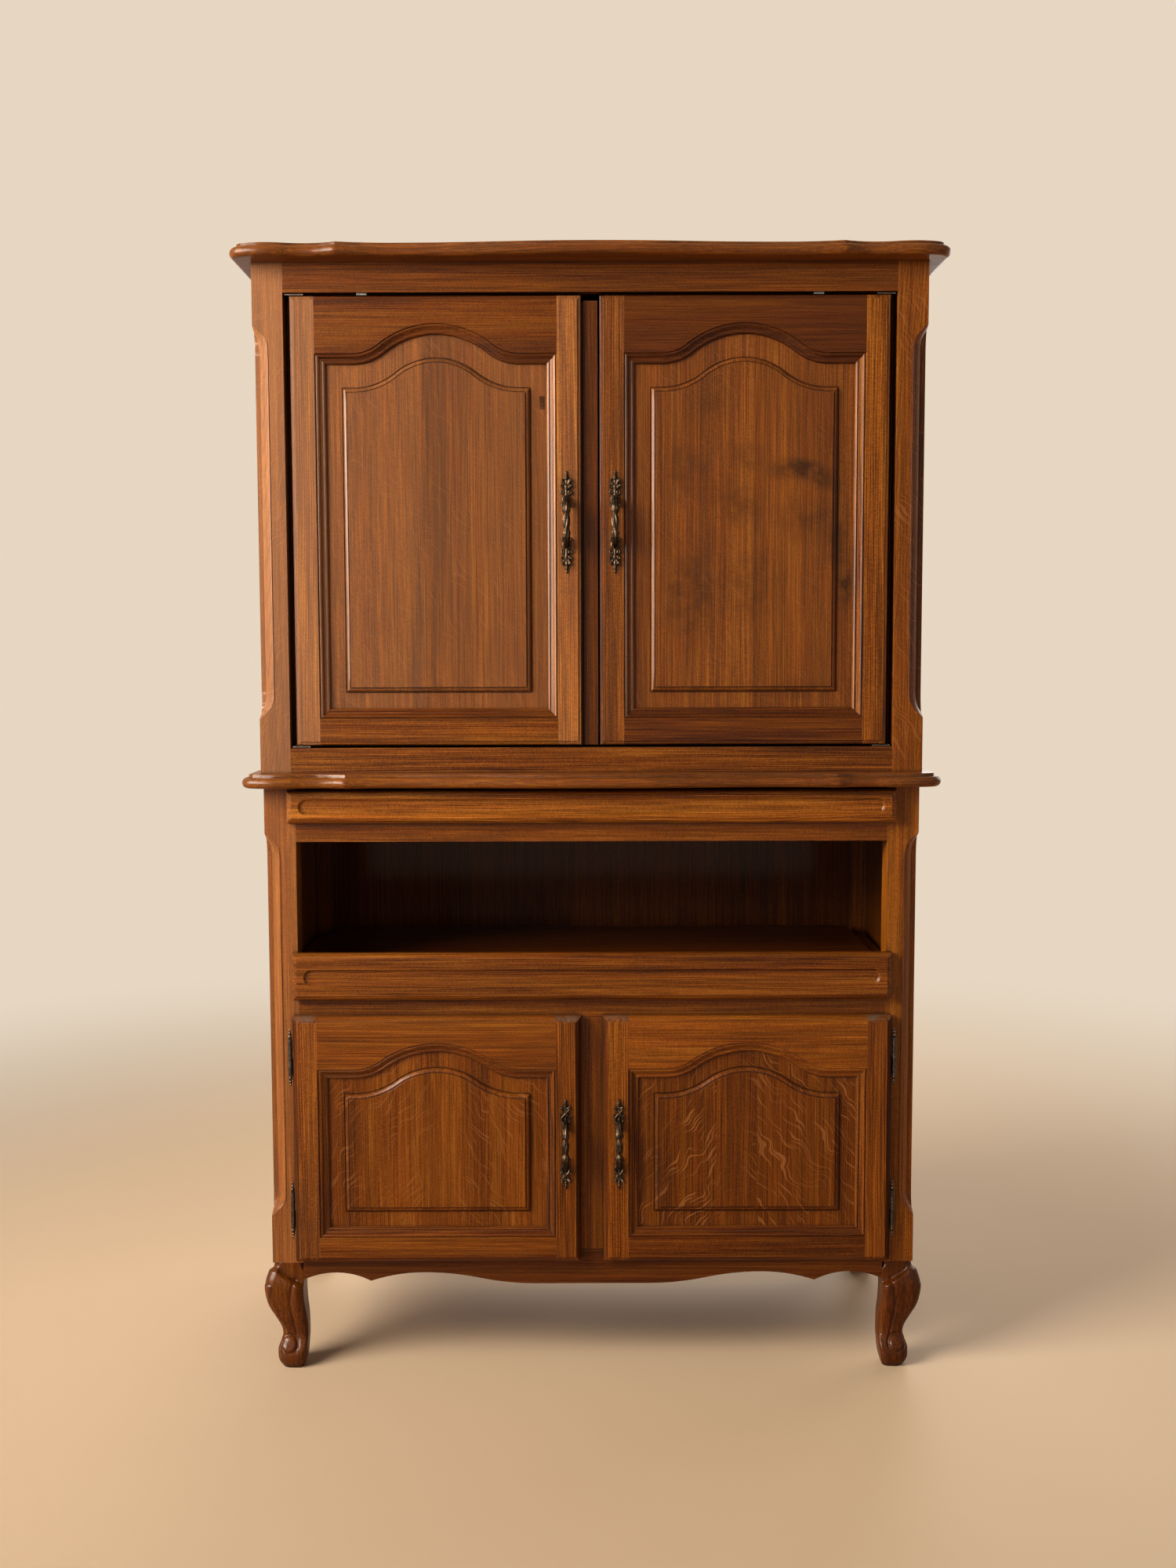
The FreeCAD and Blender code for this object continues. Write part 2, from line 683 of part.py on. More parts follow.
# Framed doors with mitred sticking round a raised and fielded panel
def arch_wire(door, grow, y, drop=0.0):
    # outline of the arched opening, grown outwards from the sight line
    centre = -(door["outer"] + door["inner"]) / 2
    sight_half = (door["outer"] - door["inner"]) / 2 - door["stile_face"] - sticking_width
    half = sight_half + grow
    low = door["bottom"] + door["rail_face"] + sticking_width - grow
    crown = door["top"] - door["rail_face"] - sticking_width + grow - drop
    shoulder = crown - door["rise"]
    reach = sight_half - shoulder_land
    radius_sum = (reach ** 2 + door["rise"] ** 2) / (2 * door["rise"])
    turn = math.asin(reach / radius_sum)
    crown_r = crown_share * radius_sum + grow
    reverse_r = (1 - crown_share) * radius_sum - grow

    def at(across, z):
        return point(centre + across, y, z)

    def right_half(sign):
        bend = at(sign * crown_r * math.sin(turn), crown - crown_r + crown_r * math.cos(turn))
        hollow = at(sign * (reach - reverse_r * math.sin(turn / 2)),
                    shoulder + reverse_r - reverse_r * math.cos(turn / 2))
        return bend, hollow

    right_bend, right_hollow = right_half(1)
    left_bend, left_hollow = right_half(-1)
    return Part.Wire([
        line(at(-half, low), at(half, low)),
        line(at(half, low), at(half, shoulder)),
        line(at(half, shoulder), at(reach, shoulder)),
        arc(at(reach, shoulder), right_hollow, right_bend),
        arc(right_bend, at(0, crown), left_bend),
        arc(left_bend, left_hollow, at(-reach, shoulder)),
        line(at(-reach, shoulder), at(-half, shoulder)),
        line(at(-half, shoulder), at(-half, low)),
    ])


def rectangle_wire(x0, x1, z0, z1, inset, y):
    corners = [
        point(x0 + inset, y, z0 + inset),
        point(x1 - inset, y, z0 + inset),
        point(x1 - inset, y, z1 - inset),
        point(x0 + inset, y, z1 - inset),
    ]
    return Part.makePolygon(corners + [corners[0]])


def moulded_slab(x0, x1, z0, z1, front_y, thickness, profile):
    wires = [rectangle_wire(x0, x1, z0, z1, inset, front_y + depth) for inset, depth in profile]
    wires.append(rectangle_wire(x0, x1, z0, z1, 0, front_y + thickness))
    return Part.makeLoft(wires, True, True)


def door_pieces(door):
    # stiles, top rail, bottom rail and panel of a left door
    x0 = -door["outer"]
    x1 = -door["inner"]
    front = door["front"]
    back = front + door["thickness"]
    slab = moulded_slab(x0, x1, door["bottom"], door["top"], front, door["thickness"], door["edge"])
    cut_profile = [(sticking_width, -0.5)] + sticking + [(0.0, door["thickness"] + 0.5)]
    opening = Part.makeLoft([arch_wire(door, grow, front + depth) for grow, depth in cut_profile],
                            True, True)
    groove_front = front + panel_recess
    groove = Part.Face(arch_wire(door, panel_groove, groove_front)).extrude(point(0, panel_thickness, 0))
    frame = slab.cut(opening).cut(groove)

    face_low = door["bottom"] + door["rail_face"]
    shoulder = door["top"] - door["rail_face"] - sticking_width - door["rise"]
    prisms = []
    for edge, sign in ((x0, 1), (x1, -1)):
        face_x = edge + sign * door["stile_face"]
        sight_x = face_x + sign * sticking_width
        corners = [
            (edge - sign, door["bottom"] - 1),
            (face_x, door["bottom"] - 1),
            (face_x, face_low),
            (sight_x, face_low + sticking_width),
            (sight_x, shoulder),
            (face_x, shoulder + sticking_width),
            (face_x, door["top"] + 1),
            (edge - sign, door["top"] + 1),
        ]
        prisms.append(polygon_prism(corners, front - 1, back + 1))
    stiles = [frame.common(prism).Solids[0] for prism in prisms]
    rails = frame.cut(prisms[0]).cut(prisms[1])
    bottom_rail, top_rail = sorted(rails.Solids, key=lambda solid: solid.CenterOfMass.z)

    tongue = Part.Face(arch_wire(door, panel_groove - panel_play, groove_front))
    sheet = tongue.extrude(point(0, panel_thickness, 0))
    foot = arch_wire(door, -field_margin, groove_front + 1, door["field_drop"])
    brow = arch_wire(door, -field_margin, groove_front - field_step, door["field_drop"])
    top = arch_wire(door, -field_margin - field_bevel, front + field_sink, door["field_drop"])
    field = Part.makeLoft([foot, brow, top], True, True)
    return stiles, top_rail, bottom_rail, sheet.fuse(field).removeSplitter()


# Bow pull: leaf-ended plate, two bosses, and a turned grip held clear of the door
def bow_pull(x, face, z, length):
    tip = length / 2
    boss = pull_boss_spacing / 2
    leaf = tip - pull_leaf_length
    shoulder = boss + pull_shoulder
    leaf_middle = (leaf + shoulder) / 2

    def at(across, up):
        return point(x + across, face, z + up)

    def side(sign, up):
        # edge of the plate from its tip to its middle
        neck = at(sign * pull_bar_half_width, up * leaf)
        collar = at(sign * pull_tip_half_width, up * shoulder)
        bar = at(sign * pull_bar_half_width, up * (boss - pull_shoulder))
        return [
            arc(at(0, up * tip), at(sign * pull_tip_half_width, up * (tip + leaf) / 2), neck),
            arc(neck, at(sign * pull_leaf_half_width, up * leaf_middle), collar),
            arc(collar, at(sign * pull_boss_half_width, up * boss), bar),
            line(bar, at(sign * pull_bar_half_width, 0)),
        ]

    edges = side(1, 1) + side(1, -1) + side(-1, 1) + side(-1, -1)
    plate = Part.Face(Part.Wire(Part.__sortEdges__(edges)))
    pull = plate.extrude(point(0, -pull_plate_thickness, 0))
    grip_y = face - pull_reach
    for up in (1, -1):
        post = Part.makeCylinder(pull_post_radius, pull_reach, at(0, up * boss), point(0, -1, 0))
        cap = Part.makeSphere(1.35 * pull_post_radius, point(x, grip_y, z + up * boss))
        dome = Part.makeSphere(pull_dome_radius, at(0, up * leaf_middle))
        behind = box(x - length, x + length, face, face + length, z - length, z + length)
        pull = pull.fuse([post, cap, dome.cut(behind)])

    def turned(radius, up):
        return point(x + radius, grip_y, z + up)

    olive = [
        line(turned(0, -boss), turned(pull_neck_radius, -boss)),
        line(turned(pull_neck_radius, -boss), turned(pull_neck_radius, -boss / 2)),
        arc(turned(pull_neck_radius, -boss / 2), turned(pull_grip_radius, 0),
            turned(pull_neck_radius, boss / 2)),
        line(turned(pull_neck_radius, boss / 2), turned(pull_neck_radius, boss)),
        line(turned(pull_neck_radius, boss), turned(0, boss)),
        line(turned(0, boss), turned(0, -boss)),
    ]
    grip = Part.Face(Part.Wire(olive)).revolve(point(x, grip_y, z), point(0, 0, 1), 360)
    return pull.fuse(grip)


# Barrel hinges with turned finials
def hinge_half(x, y, middle, up):
    # one half of the barrel on the axis, from the middle joint out to its finial
    reach = barrel_length / 2
    steps = [0.0, 0.42 * finial_length, 0.74 * finial_length, finial_length]
    radii = [0.86 * barrel_radius, 0.66 * barrel_radius, 0.45 * barrel_radius]
    base = point(x, y, middle + up * barrel_gap / 2)
    half = Part.makeCylinder(barrel_radius, reach - barrel_gap / 2, base, point(0, 0, up))
    for low, high, radius in zip(steps, steps[1:], radii):
        waist = 0.45 * radius
        ends = [point(x + waist, y, middle + up * (reach + step)) for step in (low, high)]
        bulge = point(x + radius, y, middle + up * (reach + (low + high) / 2))
        axis_ends = [point(x, y, end.z) for end in ends]
        profile = Part.Wire([
            line(axis_ends[0], ends[0]),
            arc(ends[0], bulge, ends[1]),
            line(ends[1], axis_ends[1]),
            line(axis_ends[1], axis_ends[0]),
        ])
        half = half.fuse(Part.Face(profile).revolve(point(x, y, middle), point(0, 0, 1), 360))
    return half.removeSplitter()


def build_hinges(door):
    # pintle halves for the left post and knuckle halves for the left door
    axis_x = -door["outer"] - barrel_door_gap - barrel_radius
    axis_y = door["front"] + door["thickness"] / 2
    half_leaf = hinge_leaf_thickness / 2
    middles = [door["top"] - upper_hinge_below_door_top, door["bottom"] + lower_hinge_above_door_bottom]
    pintles = []
    knuckles = []
    for middle in middles:
        reach = barrel_length / 2
        pin = cylinder_up(hinge_pin_radius, hinge_pin_length, axis_x, axis_y, middle - 1)
        post_leaf = box(axis_x - half_leaf, axis_x + half_leaf, axis_y, face_y + hinge_leaf_depth,
                        middle - reach, middle - barrel_gap / 2)
        pintles.append(hinge_half(axis_x, axis_y, middle, -1).fuse([pin, post_leaf]))
        bore = cylinder_up(hinge_pin_radius + hinge_pin_clearance, hinge_pin_length + 1, axis_x, axis_y,
                           middle - 1)
        door_leaf = box(axis_x, -door["outer"] + hinge_leaf_depth, axis_y - half_leaf, axis_y + half_leaf,
                        middle + barrel_gap / 2, middle + reach)
        knuckles.append(hinge_half(axis_x, axis_y, middle, 1).fuse(door_leaf).cut(bore))
    return pintles, knuckles


def save_door(name, door, pull_inset, pull_height, pull_length, cutters):
    stiles, top_rail, bottom_rail, panel = door_pieces(door)
    for cutter in cutters:
        stiles = [stile.cut(cutter) for stile in stiles]
    for side, pieces in (("left", lambda s: s), ("right", mirrored)):
        save(name + "_door_stiles_" + side, [pieces(stile) for stile in stiles])
    save_sides(name + "_door_top_rail", top_rail)
    save_sides(name + "_door_bottom_rail", bottom_rail)
    save_sides(name + "_door_panel", panel)
    pull = bow_pull(-door["inner"] - pull_inset, door["front"], door["bottom"] + pull_height, pull_length)
    save_sides(name + "_door_pull", pull)


def build_pocket_doors():
    door = {
        "outer": upper_inner - pocket_door_side_gap,
        "inner": pocket_door_centre_gap / 2,
        "bottom": sill_top + pocket_door_bottom_gap,
        "top": frieze_bottom - pocket_door_top_gap,
        "front": face_y,
        "thickness": pocket_door_thickness,
        "stile_face": upper_stile_face,
        "rail_face": upper_rail_face,
        "rise": upper_arch_rise,
        "edge": pocket_door_edge,
        "field_drop": upper_field_drop,
    }
    half_thickness = door["thickness"] / 2
    pivot_x = -door["outer"] + half_thickness
    pivot_y = door["front"] + half_thickness
    hole_radius = pivot_radius + pivot_clearance
    holes = [
        cylinder_up(hole_radius, pivot_depth + 2, pivot_x, pivot_y, door["bottom"] - 1),
        cylinder_up(hole_radius, pivot_depth + 2, pivot_x, pivot_y, door["top"] - pivot_depth - 1),
    ]
    save_door("upper", door, upper_pull_inset, upper_pull_height, upper_pull_length, holes)

    # batten behind the post that carries the door back along the side of the case
    front = face_y + upper_post_depth + carrier_clearance
    rear = front + carrier_depth
    inner = -door["outer"] - pocket_door_side_gap + carrier_clearance
    outer = inner - carrier_thickness
    batten_low = door["bottom"] - pivot_plate_clearance
    batten_high = door["top"] + pivot_plate_clearance
    save_sides("carrier_batten", box(outer, inner, front, rear, batten_low, batten_high))

    # pivot plates over and under the door, with pins into its stile, and the slide shoes
    plate_end = pivot_x + half_thickness
    fittings = []
    for level, pin_up in ((batten_high, -1), (batten_low - pivot_plate_thickness, 1)):
        top = level + pivot_plate_thickness
        plate = box(outer, plate_end, front, rear, level, top)
        arm = box(inner + 1, plate_end, face_y + 2, front, level, top)
        pin_base = level if pin_up < 0 else top
        pin_length = pivot_depth - 1 + pivot_plate_clearance
        pin = Part.makeCylinder(pivot_radius, pin_length, point(pivot_x, pivot_y, pin_base),
                                point(0, 0, pin_up))
        fittings.append(plate.fuse([arm, pin]).removeSplitter())

    rail_inner = outer - slide_rail_clearance
    slot_outer = -upper_side_inner + slide_slot_wall
    rails = []
    for middle in (batten_high - slide_rail_height, batten_low + slide_rail_height):
        rail = box(-upper_side_inner, rail_inner, face_y + upper_post_depth,
                   back_inner_y - slide_rail_end_gap, middle - slide_rail_height / 2,
                   middle + slide_rail_height / 2)
        slot = box(slot_outer, rail_inner + 1, face_y, back_y, middle - slide_slot_height / 2,
                   middle + slide_slot_height / 2)
        rails.append(rail.cut(slot))
        half_shoe = slide_slot_height / 2 - shoe_clearance
        fittings.append(box(slot_outer + shoe_clearance, outer, front, rear, middle - half_shoe,
                            middle + half_shoe))
    save("pocket_slide_rails", pair(rails[0]) + pair(rails[1]))
    save("carrier_fittings_left", fittings)
    save("carrier_fittings_right", [mirrored(piece) for piece in fittings])

    # strip on the back of the left door that closes the gap between the doors
    right_edge = door["inner"] - astragal_gap
    strip_back = door["front"] + door["thickness"]
    strip_top = door["top"] - astragal_top_gap
    strip = box(-door["inner"] - astragal_lap, right_edge, strip_back, strip_back + astragal_thickness,
                door["bottom"], strip_top)
    nose = box(-right_edge, right_edge, strip_back - astragal_nose, strip_back, door["bottom"], strip_top)
    save("astragal", [strip.fuse(nose).removeSplitter()])


def build_lower_doors():
    door = {
        "outer": lower_inner + lower_door_side_lap,
        "inner": lower_door_centre_gap / 2,
        "bottom": cupboard_floor_top - lower_door_bottom_lap,
        "top": door_rail_bottom + lower_door_top_lap,
        "front": front_front_y,
        "thickness": front_thickness,
        "stile_face": lower_stile_face,
        "rail_face": lower_rail_face,
        "rise": lower_arch_rise,
        "edge": overlay_edge,
        "field_drop": lower_field_drop,
    }
    pintles, knuckles = build_hinges(door)
    save_door("lower", door, lower_pull_inset, lower_pull_height, lower_pull_length, knuckles)
    save("door_hinge_knuckles_left", knuckles)
    save("door_hinge_knuckles_right", [mirrored(knuckle) for knuckle in knuckles])
    save("door_hinge_pintles", pair(pintles[0]) + pair(pintles[1]))
    return pintles


# Drawer and tray
def sunk_front(half, low, high):
    # overlay front with a long round-ended sunk panel
    front = moulded_slab(-half, half, low, high, front_front_y, front_thickness, overlay_edge)
    middle = (low + high) / 2
    wires = []
    for inset, depth in [(0.0, -0.5)] + sunk_panel_edge:
        radius = sunk_panel_height / 2 - inset
        reach = half - sunk_panel_end_margin - sunk_panel_height / 2
        y = front_front_y + depth
        low_left, low_right = point(-reach, y, middle - radius), point(reach, y, middle - radius)
        high_left, high_right = point(-reach, y, middle + radius), point(reach, y, middle + radius)
        wires.append(Part.Wire([
            line(low_left, low_right),
            arc(low_right, point(reach + radius, y, middle), high_right),
            line(high_right, high_left),
            arc(high_left, point(-reach - radius, y, middle), low_left),
        ]))
    return front.cut(Part.makeLoft(wires, True, True))


def build_drawer():
    low = drawer_rail_top - drawer_front_bottom_lap
    high = waist_bottom - drawer_front_top_gap
    save("drawer_front", [sunk_front(lower_inner + drawer_front_side_lap, low, high)])
    box_low = drawer_rail_top + drawer_lift
    box_high = waist_bottom - drawer_head_room
    outer = lower_inner - drawer_side_gap
    inner = outer - drawer_wall
    rear = front_back_y + drawer_box_depth
    wall = box(-outer, -inner, front_back_y, rear, box_low, box_high)
    back = box(-inner, inner, rear - drawer_wall, rear, box_low, box_high)
    save("drawer_walls", pair(wall) + [back])
    floor_low = box_low + drawer_bottom_height
    save("drawer_bottom", [box(-inner, inner, front_back_y, rear - drawer_wall, floor_low,
                               floor_low + drawer_bottom_thickness)])


def build_tray():
    save("tray_front", [sunk_front(lower_inner + tray_front_side_lap, tray_front_bottom, tray_front_top)])
    half = lower_inner - drawer_side_gap
    save("tray_board", [box(-half, half, front_back_y, front_back_y + tray_depth,
                            tray_top - tray_thickness, tray_top)])


os.makedirs("parts", exist_ok=True)
build_boards()
build_upper_case()
build_pocket_doors()
left_pintles = build_lower_doors()
build_lower_case(left_pintles)
build_apron()
build_legs()
build_drawer()
build_tray()
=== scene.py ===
import math
import bpy
import bmesh
from mathutils import Matrix, Vector


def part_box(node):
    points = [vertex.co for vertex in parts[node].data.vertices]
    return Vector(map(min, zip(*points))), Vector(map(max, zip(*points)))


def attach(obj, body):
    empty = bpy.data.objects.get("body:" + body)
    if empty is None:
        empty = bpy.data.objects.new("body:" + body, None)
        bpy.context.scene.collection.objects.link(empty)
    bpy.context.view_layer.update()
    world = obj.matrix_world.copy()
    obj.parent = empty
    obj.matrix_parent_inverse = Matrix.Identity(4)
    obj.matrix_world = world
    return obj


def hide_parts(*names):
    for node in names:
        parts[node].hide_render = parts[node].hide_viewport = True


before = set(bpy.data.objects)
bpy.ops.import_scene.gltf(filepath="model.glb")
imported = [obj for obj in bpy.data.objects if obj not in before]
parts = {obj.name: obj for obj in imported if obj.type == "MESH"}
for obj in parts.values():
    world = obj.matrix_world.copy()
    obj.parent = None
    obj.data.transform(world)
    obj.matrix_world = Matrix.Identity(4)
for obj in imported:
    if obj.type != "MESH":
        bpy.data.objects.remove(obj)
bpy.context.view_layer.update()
scene = bpy.context.scene
print("cabinet loaded:", len(parts), "parts")


# small node helpers
def put(tree, kind, **settings):
    node = tree.nodes.new(kind)
    for name, value in settings.items():
        setattr(node, name, value)
    return node


def feed(tree, socket, value):
    if isinstance(value, bpy.types.NodeSocket):
        tree.links.new(value, socket)
    elif value is not None:
        socket.default_value = value


def sums(tree, operation, first, second=None, third=None):
    node = put(tree, "ShaderNodeMath", operation=operation)
    for socket, value in zip(node.inputs, (first, second, third)):
        feed(tree, socket, value)
    return node.outputs[0]


def vectors(tree, operation, first, second):
    node = put(tree, "ShaderNodeVectorMath", operation=operation)
    feed(tree, node.inputs[0], first)
    feed(tree, node.inputs[1], second)
    return node.outputs[0]


def cloud(tree, place, stretch, detail=2.0, rough=0.5):
    node = put(tree, "ShaderNodeTexNoise")
    feed(tree, node.inputs["Vector"], vectors(tree, "MULTIPLY", place, stretch))
    node.inputs["Scale"].default_value = 1.0
    node.inputs["Detail"].default_value = detail
    node.inputs["Roughness"].default_value = rough
    return node.outputs["Fac"]


def between(tree, value, low, high, outLow=0.0, outHigh=1.0):
    node = put(tree, "ShaderNodeMapRange", interpolation_type="SMOOTHSTEP")
    for socket, number in zip(node.inputs, (value, low, high, outLow, outHigh)):
        feed(tree, socket, number)
    return node.outputs[0]


def blendColour(tree, share, first, second):
    node = put(tree, "ShaderNodeMix", data_type="RGBA")
    for slot, value in ((0, share), (6, first), (7, second)):  # 6 and 7 are its two colours
        feed(tree, node.inputs[slot], value)
    return node.outputs[2]


def ramp(tree, value, stops):
    node = put(tree, "ShaderNodeValToRGB")
    feed(tree, node.inputs[0], value)
    points = node.color_ramp.elements
    while len(points) < len(stops):
        points.new(0.5)
    for point, (at, colour) in zip(points, stops):
        point.position = at
        point.color = (*colour, 1.0)
    return node.outputs[0]


def newMaterial(name):
    material = bpy.data.materials.new(name)
    material.use_nodes = True
    tree = material.node_tree
    return material, tree, tree.nodes["Principled BSDF"]


def hollowShare(tree, reach, window, **settings):
    # share of a point that lies in a hollow, found by ambient occlusion
    near = put(tree, "ShaderNodeAmbientOcclusion", samples=6, **settings)
    near.inputs["Distance"].default_value = reach
    return between(tree, near.outputs["AO"], *window)


def wornEdges(tree, reach, window):
    # an edge is a hollow seen from inside the piece
    return hollowShare(tree, reach, window, inside=True, only_local=True)


def lay(tree, shader, colour, rough, height, strength, depth):
    # colour, sheen and relief onto the shader
    bump = put(tree, "ShaderNodeBump")
    bump.inputs["Strength"].default_value = strength
    bump.inputs["Distance"].default_value = depth
    feed(tree, bump.inputs["Height"], height)
    for name, value in (("Base Color", colour), ("Roughness", rough), ("Normal", bump.outputs[0])):
        feed(tree, shader.inputs[name], value)


# stained oak
oakLook = {
    "stops": (
        (0.08, (0.036, 0.0080, 0.0005)),
        (0.36, (0.112, 0.0262, 0.0011)),
        (0.58, (0.215, 0.0565, 0.0026)),
        (0.92, (0.420, 0.1400, 0.0130)),
    ),
    "pore": (0.036, 0.0125, 0.0026, 1.0),
    "redder": (1.03, 0.97, 0.95, 1.0),
    "olive": (0.975, 1.04, 1.06, 1.0),
    "fleck": (0.420, 0.165, 0.0480, 1.0),
    "smoke": (0.042, 0.0135, 0.0036, 1.0),
    # pale colour of the painted sheen, where the polish catches the window light
    "sheenColour": (0.330, 0.165, 0.0800, 1.0),
    "scuff": (0.105, 0.066, 0.0430, 1.0),
    # near-black colour of the painted shade in the hollows
    "hollowDark": (0.012, 0.0040, 0.0012, 1.0),
    "worn": (0.360, 0.130, 0.0380, 1.0),
    "stainPowers": (1.0, 1.22, 1.6),  # a deeper stain is a redder one
    # what a board can set for itself, and what it gets otherwise
    "inputs": {
        "Seed": 0.0, "Tone": 1.0, "Arch": 0.0, "ArchX": 0.0, "ArchZ": 0.0, "Flecks": 0.0, "FleckX": 0.0,
        "Smoke": 0.0, "Wear": 1.0, "Slant": 0.0, "Lines": 1.0, "Spread": 1.0, "Fade": 0.0, "Scuff": 0.0,
        "HollowShade": 0.72, "Contrast": 1.3,
    },
    # stretch across, through and along the grain, detail, roughness, then the part of it that shows
    "clouds": {
        "broad": ((26, 26, 1.3), 3, 0.5),
        "drift": ((7, 7, 0.9), 1, 0.5),
        "fibre": ((640, 640, 8), 3, 0.65),
        "streak": ((190, 190, 3.4), 3, 0.6),
        "speck": ((260, 260, 640), 1.5, 0.5),  # cut ends of the rays
        "pores": ((1500, 1500, 34), 1, 0.5, 0.54, 0.66),
        "faint": ((34, 34, 2.4), 2, 0.5, 0.36, 0.62, 0.15, 1.0),  # year lines come and go
        "olive": ((95, 95, 2.2), 2, 0.5, 0.34, 0.66),
        "bend": ((21, 21, 21), 1, 0.5),
        "ribbon": ((330, 20, 17), 0.4, 0.5, 0.610, 0.665),
        "patch": ((14, 14, 9), 1, 0.5, 0.36, 0.58, 0.20, 1.0),
        "smudge": ((26, 26, 34), 5, 0.65, 0.30, 0.66, 0.15, 1.0),
        "chafe": ((60, 60, 25), 3, 0.5, 0.38, 0.62, 0.15, 1.0),
        "satin": ((9, 9, 4), 3, 0.5),
    },
    "toneShares": {"broad": 0.34, "fibre": 0.72, "streak": 0.46, "speck": 0.28, "drift": 0.30},
    "toneBase": 0.52, "toneMiddle": 0.48, "lineShare": 0.16, "poreShare": 0.55, "wornShare": 0.55,
    "seedPaces": (3.17, 1.71, 5.30), "pairStep": 7.3, "seamStep": 2.9,
    "ringWidth": 0.0046, "ringDrift": 0.055, "ringBroad": 0.012, "ringSlope": 0.5, "yearStart": (0.25, 1.0),
    "poresBetween": 0.25,  # share of the pores outside the start of a year
    "archWidth": 0.0105, "archStretch": 0.085, "archDrift": 0.03,
    "fleckLean": (0.78, 0.62), "fleckBend": 0.052, "fleckHand": 4.7, "fleckGap": 0.05,
    "wearReach": 0.0035, "wornEdge": (0.62, 0.30),
    # reach and strength of the painted shade in the hollows
    "hollowReach": 0.009, "hollowWindow": (0.92, 0.32), "mostHollowShade": 0.95,
    "satin": 0.30, "satinSpread": 0.16, "poreSatin": 0.18, "hollowSatin": 0.20,
    "poreDepth": 0.00022, "poreStrength": 0.55, "fibreHeight": 0.45,
    "shine": 0.06, "polish": 0.18, "polishRough": 0.15,
    # mouldings: depth at which they start, slopes that are painted in shade, and how much stain, painted
    # shade and lost polish they take
    "mouldSink": (0.0006, 0.0022), "mouldSlope": (0.12, 0.32),
    "sunkStainAndShade": 0.18, "slopeShade": 0.46, "dullPolish": 0.9,
}


